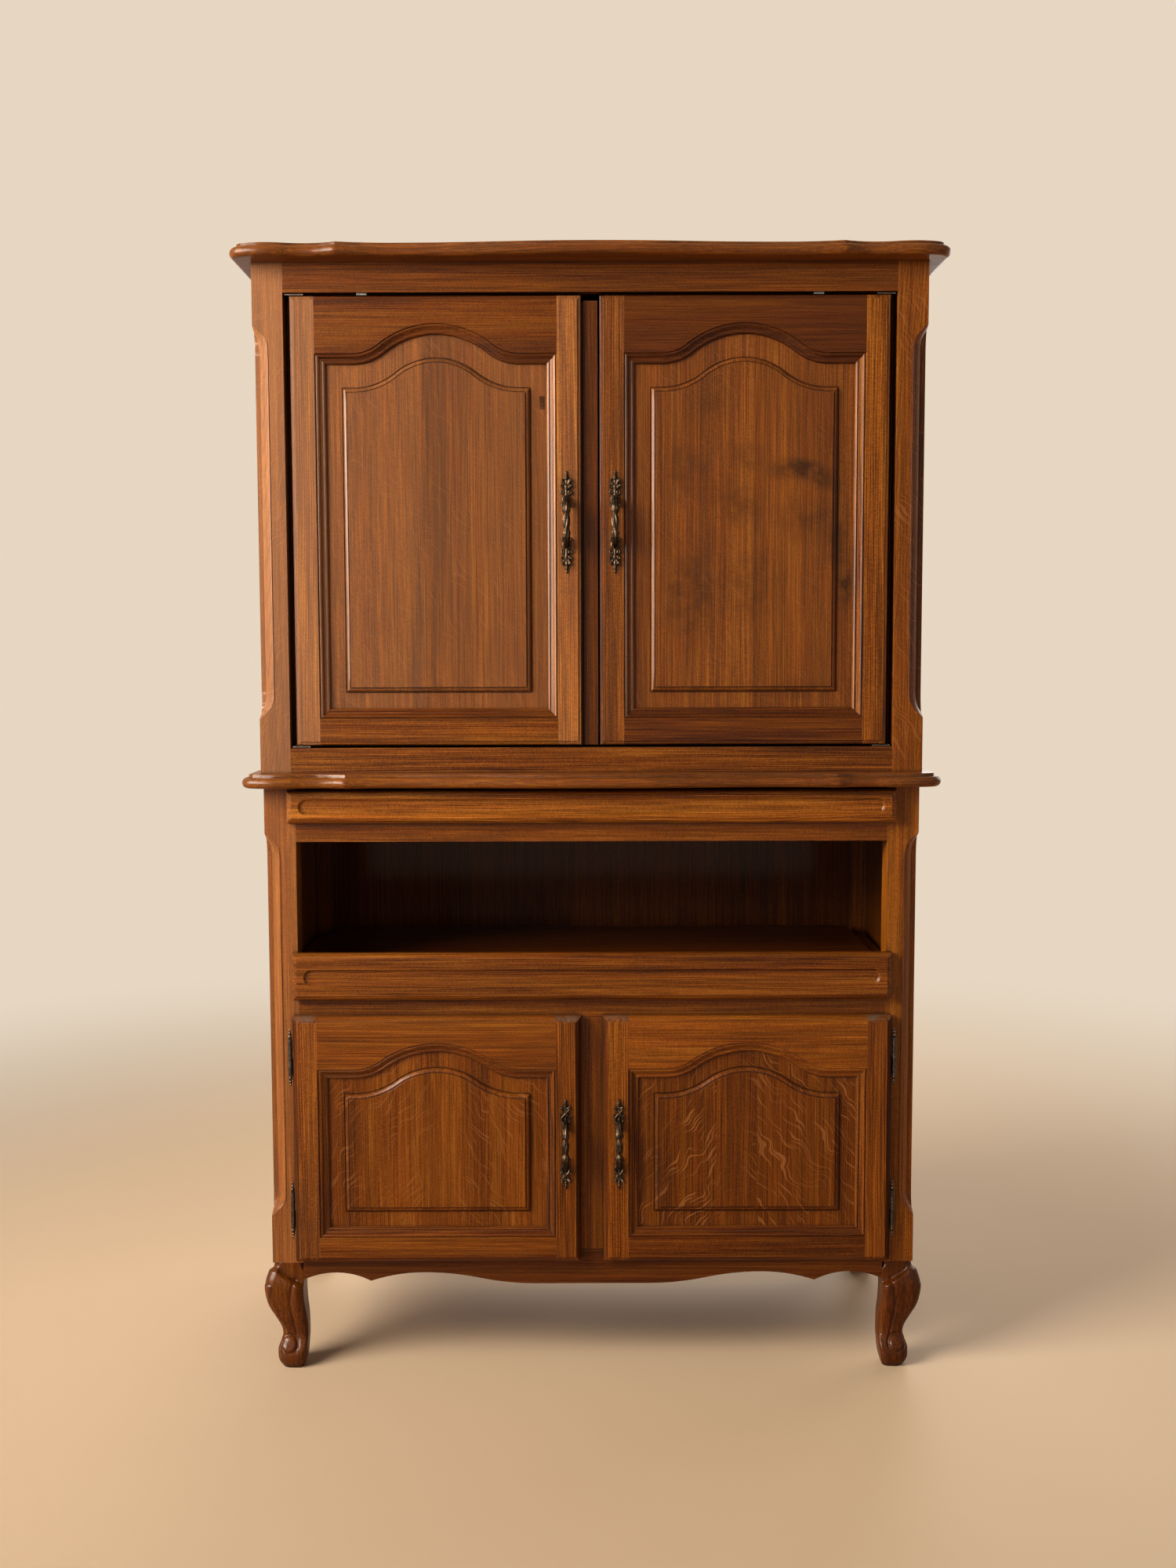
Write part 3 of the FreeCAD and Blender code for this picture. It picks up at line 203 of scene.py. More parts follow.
def buildOakGrain():
    # place comes in with z along the grain
    look = oakLook
    tree = bpy.data.node_groups.new("oakGrain", "ShaderNodeTree")
    face = tree.interface
    face.new_socket(name="Place", in_out="INPUT", socket_type="NodeSocketVector")
    for name, value in look["inputs"].items():
        face.new_socket(name=name, in_out="INPUT", socket_type="NodeSocketFloat").default_value = value
    for name, kind in (("Colour", "Color"), ("Roughness", "Float"), ("Height", "Float")):
        face.new_socket(name=name, in_out="OUTPUT", socket_type="NodeSocket" + kind)
    ins = put(tree, "NodeGroupInput").outputs
    split = put(tree, "ShaderNodeSeparateXYZ")
    feed(tree, split.inputs[0], ins["Place"])
    x, y, z = split.outputs

    def times(first, second):
        return sums(tree, "MULTIPLY", first, second)

    def timesPlus(first, second, third):
        return sums(tree, "MULTIPLY_ADD", first, second, third)

    def less(first, second):
        return sums(tree, "SUBTRACT", first, second)

    # left and right pieces of one node are cut from different boards
    seed = timesPlus(sums(tree, "GREATER_THAN", x, 0.0), look["pairStep"], ins["Seed"])
    shift = put(tree, "ShaderNodeCombineXYZ")
    for socket, pace in zip(shift.inputs, look["seedPaces"]):
        feed(tree, socket, times(seed, pace))
    board = vectors(tree, "ADD", ins["Place"], shift.outputs[0])

    def layer(name, place=board):
        stretch, detail, rough, *window = look["clouds"][name]
        shade = cloud(tree, place, stretch, detail, rough)
        return between(tree, shade, *window) if window else shade

    shades = {name: layer(name) for name in look["toneShares"]}
    wander = timesPlus(shades["drift"], look["ringDrift"], times(shades["broad"], look["ringBroad"]))
    across = sums(tree, "ADD", timesPlus(y, look["ringSlope"], x), wander)
    across = timesPlus(ins["Slant"], z, across)  # boards sawn a little off the grain
    pitch = times(ins["Spread"], look["ringWidth"] / (2 * math.pi))
    rings = sums(tree, "SINE", sums(tree, "DIVIDE", across, pitch))
    # flat-sawn figure: long arches round a point on the board
    ax = less(x, ins["ArchX"])
    az = times(less(z, ins["ArchZ"]), look["archStretch"])
    reach = sums(tree, "SQRT", timesPlus(ax, ax, times(az, az)))
    reach = timesPlus(shades["drift"], look["archDrift"], reach)
    arches = sums(tree, "SINE", times(reach, 2 * math.pi / look["archWidth"]))
    band = put(tree, "ShaderNodeMix", data_type="FLOAT")
    for slot, value in ((0, ins["Arch"]), (2, rings), (3, arches)):
        feed(tree, band.inputs[slot], value)
    year = between(tree, band.outputs[0], *look["yearStart"])  # each year's growth starts with open pores
    pores = times(layer("pores"), timesPlus(year, 1 - look["poresBetween"], look["poresBetween"]))
    lines = times(times(year, layer("faint")), ins["Lines"])
    value = timesPlus(lines, -look["lineShare"], look["toneBase"])
    for name, share in look["toneShares"].items():
        value = timesPlus(less(shades[name], 0.5), share, value)
    value = timesPlus(less(value, look["toneMiddle"]), ins["Contrast"], look["toneMiddle"])
    colour = ramp(tree, value, look["stops"])
    colour = blendColour(tree, times(pores, look["poreShare"]), colour, look["pore"])
    # the stain is more olive in some streaks and redder in others
    tint = blendColour(tree, layer("olive"), look["redder"], look["olive"])
    colour = vectors(tree, "MULTIPLY", colour, tint)
    # ray flecks: curling pale ribbons that lean away from the middle of the board
    side = sums(tree, "ABSOLUTE", less(x, ins["FleckX"]))
    hand = times(sums(tree, "GREATER_THAN", x, ins["FleckX"]), look["fleckHand"])
    leanOut, leanUp = look["fleckLean"]
    lift = timesPlus(z, leanUp, times(layer("bend"), look["fleckBend"]))
    lean = put(tree, "ShaderNodeCombineXYZ")
    feed(tree, lean.inputs[0], timesPlus(side, leanOut, lift))
    feed(tree, lean.inputs[1], sums(tree, "ADD", sums(tree, "ADD", seed, hand), y))
    feed(tree, lean.inputs[2], less(times(z, leanOut), times(side, leanUp)))
    ribbon = times(layer("ribbon", lean.outputs[0]), layer("patch"))
    ribbon = times(times(ribbon, between(tree, side, 0.0, look["fleckGap"])), ins["Flecks"])
    colour = blendColour(tree, ribbon, colour, look["fleck"])
    # painted sheen: colour paled where the polish would catch the window light
    colour = blendColour(tree, ins["Fade"], colour, look["sheenColour"])
    colour = blendColour(tree, times(layer("smudge"), ins["Smoke"]), colour, look["smoke"])
    depth = put(tree, "ShaderNodeCombineXYZ")
    for socket, power in zip(depth.inputs, look["stainPowers"]):
        feed(tree, socket, sums(tree, "POWER", ins["Tone"], power))
    colour = vectors(tree, "MULTIPLY", colour, depth.outputs[0])
    # polish worn off the outer edges; painted shade darkens the hollows
    chafe = layer("chafe")
    edge = times(times(wornEdges(tree, look["wearReach"], look["wornEdge"]), chafe), ins["Wear"])
    colour = blendColour(tree, times(edge, look["wornShare"]), colour, look["worn"])
    colour = blendColour(tree, times(ins["Scuff"], chafe), colour, look["scuff"])
    # painted shade: colour darkened towards near-black wherever the wood lies in a hollow
    hollowDark = hollowShare(tree, look["hollowReach"], look["hollowWindow"])
    hollowShadeShare = sums(tree, "MINIMUM", times(hollowDark, ins["HollowShade"]), look["mostHollowShade"])
    colour = blendColour(tree, hollowShadeShare, colour, look["hollowDark"])
    satin = timesPlus(layer("satin"), look["satinSpread"], look["satin"])
    satin = timesPlus(pores, look["poreSatin"], satin)
    satin = timesPlus(hollowDark, look["hollowSatin"], satin)
    height = less(times(shades["fibre"], look["fibreHeight"]), pores)
    outs = put(tree, "NodeGroupOutput").inputs
    for name, value in (("Colour", colour), ("Roughness", satin), ("Height", height)):
        feed(tree, outs[name], value)
    return tree


oakGrain = buildOakGrain()


markRims = {"soft": (0.15, 1.0), "sharp": (0.9, 1.1)}  # where a mark fades, in shares of its size


def spots(tree, x, z, marks):
    # sum of marks: middle, half width and height, tilt in degrees, strength, soft or sharp rim
    total = 0.0
    for (mx, mz), (wide, high), tilt, strength, soft in marks:
        cos, sin = math.cos(math.radians(tilt)), math.sin(math.radians(tilt))
        dx, dz = sums(tree, "SUBTRACT", x, mx), sums(tree, "SUBTRACT", z, mz)
        u = sums(tree, "MULTIPLY_ADD", dx, cos / wide, sums(tree, "MULTIPLY", dz, sin / wide))
        v = sums(tree, "MULTIPLY_ADD", dz, cos / high, sums(tree, "MULTIPLY", dx, -sin / high))
        if soft:
            reach = sums(tree, "SQRT", sums(tree, "MULTIPLY_ADD", u, u, sums(tree, "MULTIPLY", v, v)))
        else:
            reach = sums(tree, "MAXIMUM", sums(tree, "ABSOLUTE", u), sums(tree, "ABSOLUTE", v))
        share = between(tree, reach, *markRims["soft" if soft else "sharp"], strength, 0.0)
        total = sums(tree, "ADD", share, total)
    return sums(tree, "MINIMUM", total, 1.0)


def makeOak(name, along="z", seed=0.0, tone=1.0, seams=(), tones=(), sheens=(), smokes=(), scuffs=(),
            moulded=None, **figure):
    # seams: where glued boards meet across the grain; tones and painted sheens: one more than seams
    # moulded: front of a moulded frame and the middle of its opening
    look = oakLook
    material, tree, shader = newMaterial(name)
    grain = put(tree, "ShaderNodeGroup", node_tree=oakGrain)
    split = put(tree, "ShaderNodeSeparateXYZ")
    coords = put(tree, "ShaderNodeTexCoord").outputs
    feed(tree, split.inputs[0], coords["Object"])
    x, y, z = split.outputs
    turned = put(tree, "ShaderNodeCombineXYZ")
    order = {"x": (z, y, x), "y": (x, z, y), "z": (x, y, z)}[along]
    for socket, source in zip(turned.inputs, order):
        feed(tree, socket, source)
    feed(tree, grain.inputs["Place"], turned.outputs[0])
    for key, marks in (("Smoke", smokes), ("Scuff", scuffs)):
        if marks:
            feed(tree, grain.inputs[key], spots(tree, x, z, marks))
    count = len(seams) + 1
    # painted sheen of the board, if it has one
    fade = figure.pop("Fade", 0.0)
    tones, sheens = tones or (tone,) * count, sheens or (fade,) * count
    seedNow, toneNow, sheenNow = seed, tones[0], sheens[0]
    for at, before, after, pale, paler in zip(seams, tones, tones[1:], sheens, sheens[1:]):
        past = sums(tree, "GREATER_THAN", order[0], at)
        seedNow = sums(tree, "MULTIPLY_ADD", past, look["seamStep"], seedNow)
        toneNow = sums(tree, "MULTIPLY_ADD", past, after - before, toneNow)
        sheenNow = sums(tree, "MULTIPLY_ADD", past, paler - pale, sheenNow)
    polish = look["polish"]
    if moulded:
        # stain and painted shade darken the sunk moulding; slopes that face away from the panel get more
        # painted shade and less polish
        face, middle = moulded
        sunk = between(tree, y, *[face + depth for depth in look["mouldSink"]])
        slope = put(tree, "ShaderNodeSeparateXYZ")
        feed(tree, slope.inputs[0], coords["Normal"])
        outer = sums(tree, "SIGN", sums(tree, "SUBTRACT", x, middle))
        shadedSlope = between(tree, sums(tree, "MULTIPLY", slope.outputs[0], outer), *look["mouldSlope"])
        shadedSlope = sums(tree, "MULTIPLY", shadedSlope, sunk)
        deep = sums(tree, "MULTIPLY_ADD", sunk, -look["sunkStainAndShade"], 1.0)
        deep = sums(tree, "MULTIPLY_ADD", shadedSlope, -look["slopeShade"], deep)
        toneNow = sums(tree, "MULTIPLY", toneNow, deep)
        polish = sums(tree, "MULTIPLY_ADD", shadedSlope, -look["dullPolish"] * polish, polish)
    for key, value in (("Seed", seedNow), ("Tone", toneNow), ("Fade", sheenNow), *figure.items()):
        feed(tree, grain.inputs[key], value)
    lay(tree, shader, grain.outputs["Colour"], grain.outputs["Roughness"], grain.outputs["Height"],
        look["poreStrength"], look["poreDepth"])
    shader.inputs["Specular IOR Level"].default_value = look["shine"]
    shader.inputs["Coat Roughness"].default_value = look["polishRough"]
    feed(tree, shader.inputs["Coat Weight"], polish)
    return material


# aged brass, browned iron and zinc-plated gear
metalWear = {
    "edge": (0.55, 0.25), "hollow": (0.75, 0.30), "mottleRough": 0.25, "hollowRough": 0.25, "relief": 0.5,
}


def makeMetal(name, look):
    material, tree, shader = newMaterial(name)
    place = put(tree, "ShaderNodeTexCoord").outputs["Object"]
    mottle = cloud(tree, place, (look["mottle"],) * 3, detail=4)
    pits = cloud(tree, place, (look["pits"],) * 3)
    colour = ramp(tree, mottle, look["stops"])
    edge = wornEdges(tree, look["wearReach"], metalWear["edge"])
    colour = blendColour(tree, sums(tree, "MULTIPLY", edge, look["wear"]), colour, look["worn"])
    # colour darker towards near-black in the hollows
    hollowDark = hollowShare(tree, look["hollowReach"], metalWear["hollow"])
    colour = blendColour(tree, sums(tree, "MULTIPLY", hollowDark, look["hollowDarkShare"]), colour, look["hollowDark"])
    rough = sums(tree, "MULTIPLY_ADD", mottle, metalWear["mottleRough"], look["rough"])
    rough = sums(tree, "MULTIPLY_ADD", hollowDark, metalWear["hollowRough"], rough)
    lay(tree, shader, colour, rough, pits, metalWear["relief"], look["pitDepth"])
    shader.inputs["Metallic"].default_value = look["metallic"]
    return material


brassLook = {
    "stops": ((0.30, (0.014, 0.008, 0.005)), (0.54, (0.038, 0.023, 0.013)), (0.78, (0.084, 0.054, 0.031))),
    "mottle": 210.0, "pits": 900.0, "pitDepth": 0.00025, "rough": 0.26, "metallic": 0.92,
    "worn": (0.380, 0.280, 0.180, 1.0), "wear": 0.45, "wearReach": 0.0012,
    "hollowDark": (0.010, 0.007, 0.004, 1.0), "hollowDarkShare": 0.92, "hollowReach": 0.005,
}
ironLook = {
    "stops": ((0.30, (0.022, 0.015, 0.011)), (0.55, (0.060, 0.042, 0.032)), (0.80, (0.120, 0.090, 0.070))),
    "mottle": 260.0, "pits": 1100.0, "pitDepth": 0.0003, "rough": 0.20, "metallic": 0.90,
    "worn": (0.420, 0.370, 0.320, 1.0), "wear": 0.7, "wearReach": 0.0016,
    "hollowDark": (0.010, 0.007, 0.005, 1.0), "hollowDarkShare": 0.8, "hollowReach": 0.004,
}
# zinc darkened below its own colour as painted shade, for the rails and catches that sit in dark gaps
darkenedGearLook = {
    "stops": ((0.30, (0.120, 0.118, 0.112)), (0.55, (0.190, 0.188, 0.180)), (0.80, (0.270, 0.266, 0.255))),
    "mottle": 120.0, "pits": 700.0, "pitDepth": 0.0001, "rough": 0.24, "metallic": 1.0,
    "worn": (0.500, 0.490, 0.470, 1.0), "wear": 0.4, "wearReach": 0.0016,
    "hollowDark": (0.060, 0.050, 0.040, 1.0), "hollowDarkShare": 0.7, "hollowReach": 0.006,
}
agedBrass = makeMetal("agedBrass", brassLook)
brownedIron = makeMetal("brownedIron", ironLook)
zincGear = makeMetal("zincGear", darkenedGearLook)


def dress(name, material):
    slots = parts[name].data.materials
    slots.clear()
    slots.append(material)


# how each board took the stain, with painted sheen or painted shade on some, and which way its grain runs
# where that isn't up
calmFigure = dict(Lines=0.7, Spread=0.7)
railFigure = dict(along="x", Lines=0.75, Spread=0.62)
boards = {
    "cornice_board": dict(along="x", seed=1.1, tone=0.86, Fade=0.06, **calmFigure),
    "waist_board": dict(along="x", seed=2.4, tone=0.92, Fade=0.06, **calmFigure),
    # the left post is paled with painted sheen, the right one is not
    "upper_front_posts": dict(seed=3.7, seams=(0.0,), tones=(1.16, 1.16), sheens=(0.34, 0.0), Slant=-0.10,
                              Lines=0.7, Flecks=0.22),
    "lower_front_posts": dict(seed=4.2, seams=(0.0,), tones=(1.14, 1.18), sheens=(0.16, 0.0), Lines=0.6,
                              Spread=0.8),
    "upper_rear_posts": dict(seed=5.9, tone=0.95),
    "lower_rear_posts": dict(seed=6.3, tone=0.92),
    "frieze_rail": dict(seed=7.6, tone=0.85, **railFigure),
    "upper_bottom_rail": dict(along="x", seed=8.8, tone=0.79, Contrast=1.8, **calmFigure),
    "upper_side_rails": dict(along="y", seed=9.5, tone=0.98),
    "upper_side_panels": dict(seed=10.2, seams=(-0.05, 0.08), tones=(1.0, 0.93, 1.05), Arch=0.6),
    "lower_side_rails": dict(along="y", seed=11.4, tone=0.96),
    "lower_side_panels": dict(seed=12.7, seams=(-0.03, 0.09), tones=(0.98, 1.05, 0.92), Arch=0.5),
    "front_legs": dict(seed=13.9, seams=(0.0,), tones=(0.60, 0.45), **calmFigure),
    "drawer_rail": dict(seed=14.3, tone=0.80, **railFigure),
    "door_rail": dict(seed=15.8, tone=0.86, **railFigure),
    "centre_stile": dict(seed=16.6, tone=0.82, **calmFigure),
    "apron": dict(seed=17.2, tone=0.52, **railFigure),
    # more painted shade in the grooves of the drawer and tray fronts
    "drawer_front": dict(along="x", seed=18.5, tone=1.31, HollowShade=1.7, Contrast=1.6, **calmFigure),
    "tray_front": dict(along="x", seed=19.1, tone=0.64, HollowShade=1.7, Contrast=1.9, **calmFigure),
    "astragal": dict(seed=20.4, tone=0.62, Lines=0.6),
    "upper_back_panel": dict(seed=21.7, tone=0.62, Wear=0.3),
    "lower_back_panel": dict(seed=22.9, tone=0.62, Wear=0.3),
    "drawer_bottom": dict(along="x", seed=23.3, tone=0.75, Wear=0.3),
    "dust_boards": dict(along="x", seed=24.8, tone=0.70, Wear=0.3),
    "cupboard_floor": dict(along="x", seed=25.6, tone=0.80, Wear=0.5),
    "tv_deck": dict(along="x", seed=26.1, tone=0.85, Wear=0.5),
    # tone set near black as painted shade, for a board that lies in shade
    "tray_board": dict(along="x", seed=27.4, tone=0.30, Wear=0.5),
    "drawer_walls": dict(along="x", seed=28.9, tone=0.90, Wear=0.5),
    "drawer_runners": dict(along="y", seed=29.3, tone=0.80, Wear=0.5),
    "carrier_batten_left": dict(seed=30.7, tone=0.80),
    "carrier_batten_right": dict(seed=31.2, tone=0.80),
}
doorMiddles = {"upper_left": -0.247, "upper_right": 0.247, "lower_left": -0.256, "lower_right": 0.256}
panelMarks = {  # middle, half size, tilt, strength, soft
    "upper_left": (((-0.0774, 1.5918), (0.0044, 0.0104), 0, 0.92, False),),
    "upper_right": (
        ((0.366, 1.473), (0.060, 0.026), -24, 0.95, True), ((0.322, 1.487), (0.060, 0.024), 8, 0.7, True),
        ((0.411, 1.302), (0.020, 0.065), 0, 1.0, True), ((0.398, 1.365), (0.030, 0.050), 0, 0.60, True),
        ((0.160, 1.290), (0.070, 0.120), 0, 0.60, True), ((0.262, 1.300), (0.070, 0.080), 0, 0.50, True),
        ((0.360, 1.410), (0.085, 0.055), 0, 0.55, True), ((0.150, 1.480), (0.060, 0.070), 0, 0.50, True),
        ((0.250, 1.420), (0.050, 0.050), 0, 0.35, True), ((0.330, 1.130), (0.090, 0.035), 0, 0.30, True),
        ((0.250, 1.504), (0.055, 0.036), 0, 0.42, True), ((0.222, 1.445), (0.055, 0.050), 0, 0.40, True),
        ((0.189, 1.594), (0.060, 0.050), 0, 0.34, True)),
}
# the upper panels carry painted sheen, most on the left
doorPanels = {
    "upper_left": dict(seed=40.1, seams=(-0.27, -0.165), tones=(0.88, 0.79, 0.83), sheens=(0.25, 0.22, 0.22),
                       Arch=0.45, ArchX=-0.36, ArchZ=1.02, Flecks=0.16, FleckX=-0.60,
                       smokes=panelMarks["upper_left"], Contrast=1.5),
    "upper_right": dict(seed=43.6, seams=(0.175, 0.262), tones=(0.85, 0.89, 0.79), sheens=(0.06, 0.06, 0.06),
                        Arch=0.15, ArchX=0.20, ArchZ=0.90, Flecks=0.10, FleckX=-0.10, Lines=0.8,
                        smokes=panelMarks["upper_right"], Contrast=1.4),
    "lower_left": dict(seed=47.8, seams=(-0.32, -0.17), tones=(0.84, 0.75, 0.82), Arch=0.25, ArchX=-0.24,
                       ArchZ=0.9, Flecks=0.30, FleckX=-0.25, Lines=0.7),
    "lower_right": dict(seed=52.2, seams=(0.205, 0.272), tones=(0.71, 0.64, 0.71), Flecks=0.70, FleckX=0.235,
                        Lines=0.6),
}
doorFrames = {  # outer and inner stile, top rail, bottom rail
    "upper_left": (1.20, 1.26, 0.58, 0.70), "upper_right": (1.06, 0.84, 0.45, 0.57),
    "lower_left": (1.03, 1.03, 0.93, 0.66), "lower_right": (0.74, 0.96, 1.08, 0.56),
}
doorSheens = {  # painted sheen on the left and right stile, most where the window light falls
    "upper_left": (0.30, 0.16), "upper_right": (0.06, 0.0),
    "lower_left": (0.04, 0.0), "lower_right": (0.0, 0.0),
}
stileScuffs = {  # rubbed end grain on top of the stiles
    "lower_left": (((-0.470, 0.5935), (0.036, 0.0085), 0, 0.9, True),
                   ((-0.041, 0.5935), (0.032, 0.0085), 0, 0.8, True)),
    "lower_right": (((0.041, 0.5935), (0.032, 0.0085), 0, 0.8, True),
                    ((0.470, 0.5935), (0.036, 0.0085), 0, 0.9, True)),
}
doorSeed = {"first": 60.0, "step": 7.7, "topRail": 1.9, "bottomRail": 4.3}
for index, (door, middle) in enumerate(doorMiddles.items()):
    level, side = door.split("_")
    outer, inner, top, bottom = doorFrames[door]
    stiles = (outer, inner) if side == "left" else (inner, outer)
    seed = doorSeed["first"] + doorSeed["step"] * index
    stileNode = f"{level}_door_stiles_{side}"
    moulded = (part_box(stileNode)[0].y, middle)
    boards[stileNode] = dict(seed=seed, seams=(middle,), tones=stiles, sheens=doorSheens[door], Spread=0.8,
                             scuffs=stileScuffs.get(door, ()), moulded=moulded, Contrast=1.8)
    boards[f"{level}_door_top_rail_{side}"] = dict(seed=seed + doorSeed["topRail"], tone=top, moulded=moulded,
                                                   **railFigure)
    boards[f"{level}_door_bottom_rail_{side}"] = dict(seed=seed + doorSeed["bottomRail"], tone=bottom,
                                                      moulded=moulded, Contrast=1.6, **railFigure)
    boards[f"{level}_door_panel_{side}"] = doorPanels[door]
    dress(f"{level}_door_pull_{side}", agedBrass)
for name, settings in boards.items():
    dress(name, makeOak(name + "Oak", **settings))
# hinges in browned iron; the carrier fittings take it too, as painted shade, so that they stay dark in the
# gap
for name in ("door_hinge_knuckles_left", "door_hinge_knuckles_right", "door_hinge_pintles",
             "carrier_fittings_left", "carrier_fittings_right"):
    dress(name, brownedIron)
for name in ("pocket_slide_rails", "upper_door_catches"):
    dress(name, zincGear)
print("timber and metal dressed:", len(bpy.data.materials), "materials")


# eased arrises, so that every edge catches the light
arris = {"width": 0.00035, "segments": 2, "angle": 38.0, "weld": 0.00002}


def easeEdges(name):
    piece = parts[name]
    weld = piece.modifiers.new("weld", "WELD")
    weld.merge_threshold = arris["weld"]
    bevel = piece.modifiers.new("arris", "BEVEL")
    bevel.width = arris["width"]
    bevel.segments = arris["segments"]
    bevel.limit_method = "ANGLE"
    bevel.angle_limit = math.radians(arris["angle"])
    bevel.harden_normals = True
    bevel.use_clamp_overlap = True


easedBoards = [name for name in boards if name != "drawer_walls"]  # its walls touch and would weld together
for name in easedBoards:
    easeEdges(name)
print("arrises eased on", len(easedBoards), "timber parts")


# mesh helpers for cast and carved pieces
def smoothPath(points, steps=6):
    # rounded path through the given points
    path = []
    for index in range(len(points) - 1):
        before, here = points[max(index - 1, 0)], points[index]
        there, after = points[index + 1], points[min(index + 2, len(points) - 1)]
        for step in range(steps):
            t = step / steps
            path.append(tuple(
                0.5 * (2 * b + (c - a) * t + (2 * a - 5 * b + 4 * c - d) * t * t
                       + (3 * b - a - 3 * c + d) * t ** 3)
                for a, b, c, d in zip(before, here, there, after)))
    return path + [tuple(points[-1])]


def skin(bm, loops, flip=False):
    # closed skin over a row of loops
    count = len(loops[0])
    faces = []
    for low, high in zip(loops, loops[1:]):
        for i in range(count):
            j = (i + 1) % count
            faces.append((low[i], low[j], high[j], high[i]))
    for face in faces + [loops[0][::-1], loops[-1]]:
        bm.faces.new(face[::-1] if flip else face)


def addRod(bm, stations, sides, flutes=0, fluteDepth=0.0, twist=0.0):
    # stations: x, y, z, radius along a path; round rod with closed ends
    path = smoothPath(stations)
    centres = [Vector(station[:3]) for station in path]
    rings = []
    up = Vector((0.31, 0.17, 0.93))  # any way that no rod runs
    for index, centre in enumerate(centres):
        ahead = centres[min(index + 1, len(centres) - 1)] - centres[max(index - 1, 0)]
        ahead.normalize()
        across = ahead.cross(up).normalized()
        up = across.cross(ahead).normalized()
        ring = []
        for side in range(sides):
            turn = 2 * math.pi * side / sides
            radius = path[index][3] * (1 + fluteDepth * math.cos(flutes * (turn + twist * index)))
            ring.append(bm.verts.new(centre + radius * (math.cos(turn) * across + math.sin(turn) * up)))
        rings.append(ring)
    skin(bm, rings)


def addBead(bm, centre, radii):
    shape = Matrix.Translation(centre) @ Matrix.Diagonal((*radii, 1.0))
    bmesh.ops.create_uvsphere(bm, u_segments=16, v_segments=10, radius=1.0, matrix=shape)


leafLook = {
    "rows": 9, "columns": 7,
    "swell": (0.10, 0.88, 0.8), "taper": 0.35,  # part and power of a sine that gives the width, and the point
    "crown": 0.0014, "crownPower": 1.5, "ripple": 0.0006, "ripples": 5, "thick": 0.0008,
    "proud": 0.0006, "sunk": 0.0004, "underLift": 0.4,
}


def addLeaf(bm, base, angle, length, width, lift):
    # pointed leaf with a midrib, lying on the wood and curling up at its tip; angle from straight up
    look = leafLook
    rows, columns = look["rows"], look["columns"]
    start, run, power = look["swell"]
    way = Vector((math.sin(angle), 0, math.cos(angle)))
    across = Vector((way.z, 0, -way.x))
    top, bottom = [], []
    for row in range(rows):
        t = row / (rows - 1)
        half = width * (math.sin(math.pi * (start + run * t)) ** power) * (1 - look["taper"] * t)
        upper, under = [], []
        for column in range(columns):
            s = 2 * column / (columns - 1) - 1
            ripple = look["ripple"] * math.cos(look["ripples"] * math.pi * t) * (1 - abs(s))
            crown = (1 - abs(s) ** look["crownPower"]) * look["crown"] + ripple + look["thick"]
            out = lift * t * t + crown
            middle = Vector(base) + way * length * t + across * half * s
            upper.append(bm.verts.new(middle + Vector((0, -out - look["proud"], 0))))
            below = look["sunk"] - lift * t * t * look["underLift"]
            under.append(bm.verts.new(middle + Vector((0, below, 0))))
        top.append(upper)
        bottom.append(under)
    for row in range(rows - 1):
        for column in range(columns - 1):
            a, b = top[row][column], top[row][column + 1]
            c, d = top[row + 1][column + 1], top[row + 1][column]
            bm.faces.new((a, b, c, d))
            a, b = bottom[row][column], bottom[row][column + 1]
            c, d = bottom[row + 1][column + 1], bottom[row + 1][column]
            bm.faces.new((d, c, b, a))
        for column, flip in ((0, True), (columns - 1, False)):
            quad = (top[row][column], top[row + 1][column], bottom[row + 1][column], bottom[row][column])
            bm.faces.new(quad[::-1] if flip else quad)
    for row, flip in ((0, False), (rows - 1, True)):
        for column in range(columns - 1):
            quad = (top[row][column], bottom[row][column], bottom[row][column + 1], top[row][column + 1])
            bm.faces.new(quad[::-1] if flip else quad)


def finishMesh(bm, name):
    mesh = bpy.data.meshes.new(name)
    bmesh.ops.recalc_face_normals(bm, faces=bm.faces)
    bm.to_mesh(mesh)
    bm.free()
    piece = bpy.data.objects.new(name, mesh)
    scene.collection.objects.link(piece)
    return piece


castLook = {"voxel": 0.00055, "soften": 0.5, "rounds": 2}


def castInOne(piece):
    # melts the modelled shapes into one casting
    melt = piece.modifiers.new("melt", "REMESH")
    melt.mode = "VOXEL"
    melt.voxel_size = castLook["voxel"]
    soften = piece.modifiers.new("soften", "SMOOTH")
    soften.factor = castLook["soften"]
    soften.iterations = castLook["rounds"]
    shaped = piece.evaluated_get(bpy.context.evaluated_depsgraph_get())
    cast = bpy.data.meshes.new_from_object(shaped)
    piece.modifiers.clear()
    old = piece.data
    piece.data = cast
    cast.name = piece.name
    bpy.data.meshes.remove(old)
    for face in cast.polygons:
        face.use_smooth = True


# bow pulls: cast brass, olive grip between two bosses, leaf sprays above and below
gripLook = {
    "boss": 0.036,  # bosses above and below the middle
    "reach": 0.019,  # the grip's axis off the wood
    "grip": 0.0060, "flutes": 7, "fluteDepth": 0.12, "fluteTwist": 0.02,
    "collars": ((0.0240, 0.0, (0.0052, 0.0052, 0.0013)), (0.0108, 0.001, (0.0062, 0.0058, 0.0016))),
    "plate": 0.0013,  # half the thickness of the plate behind the ornament
}
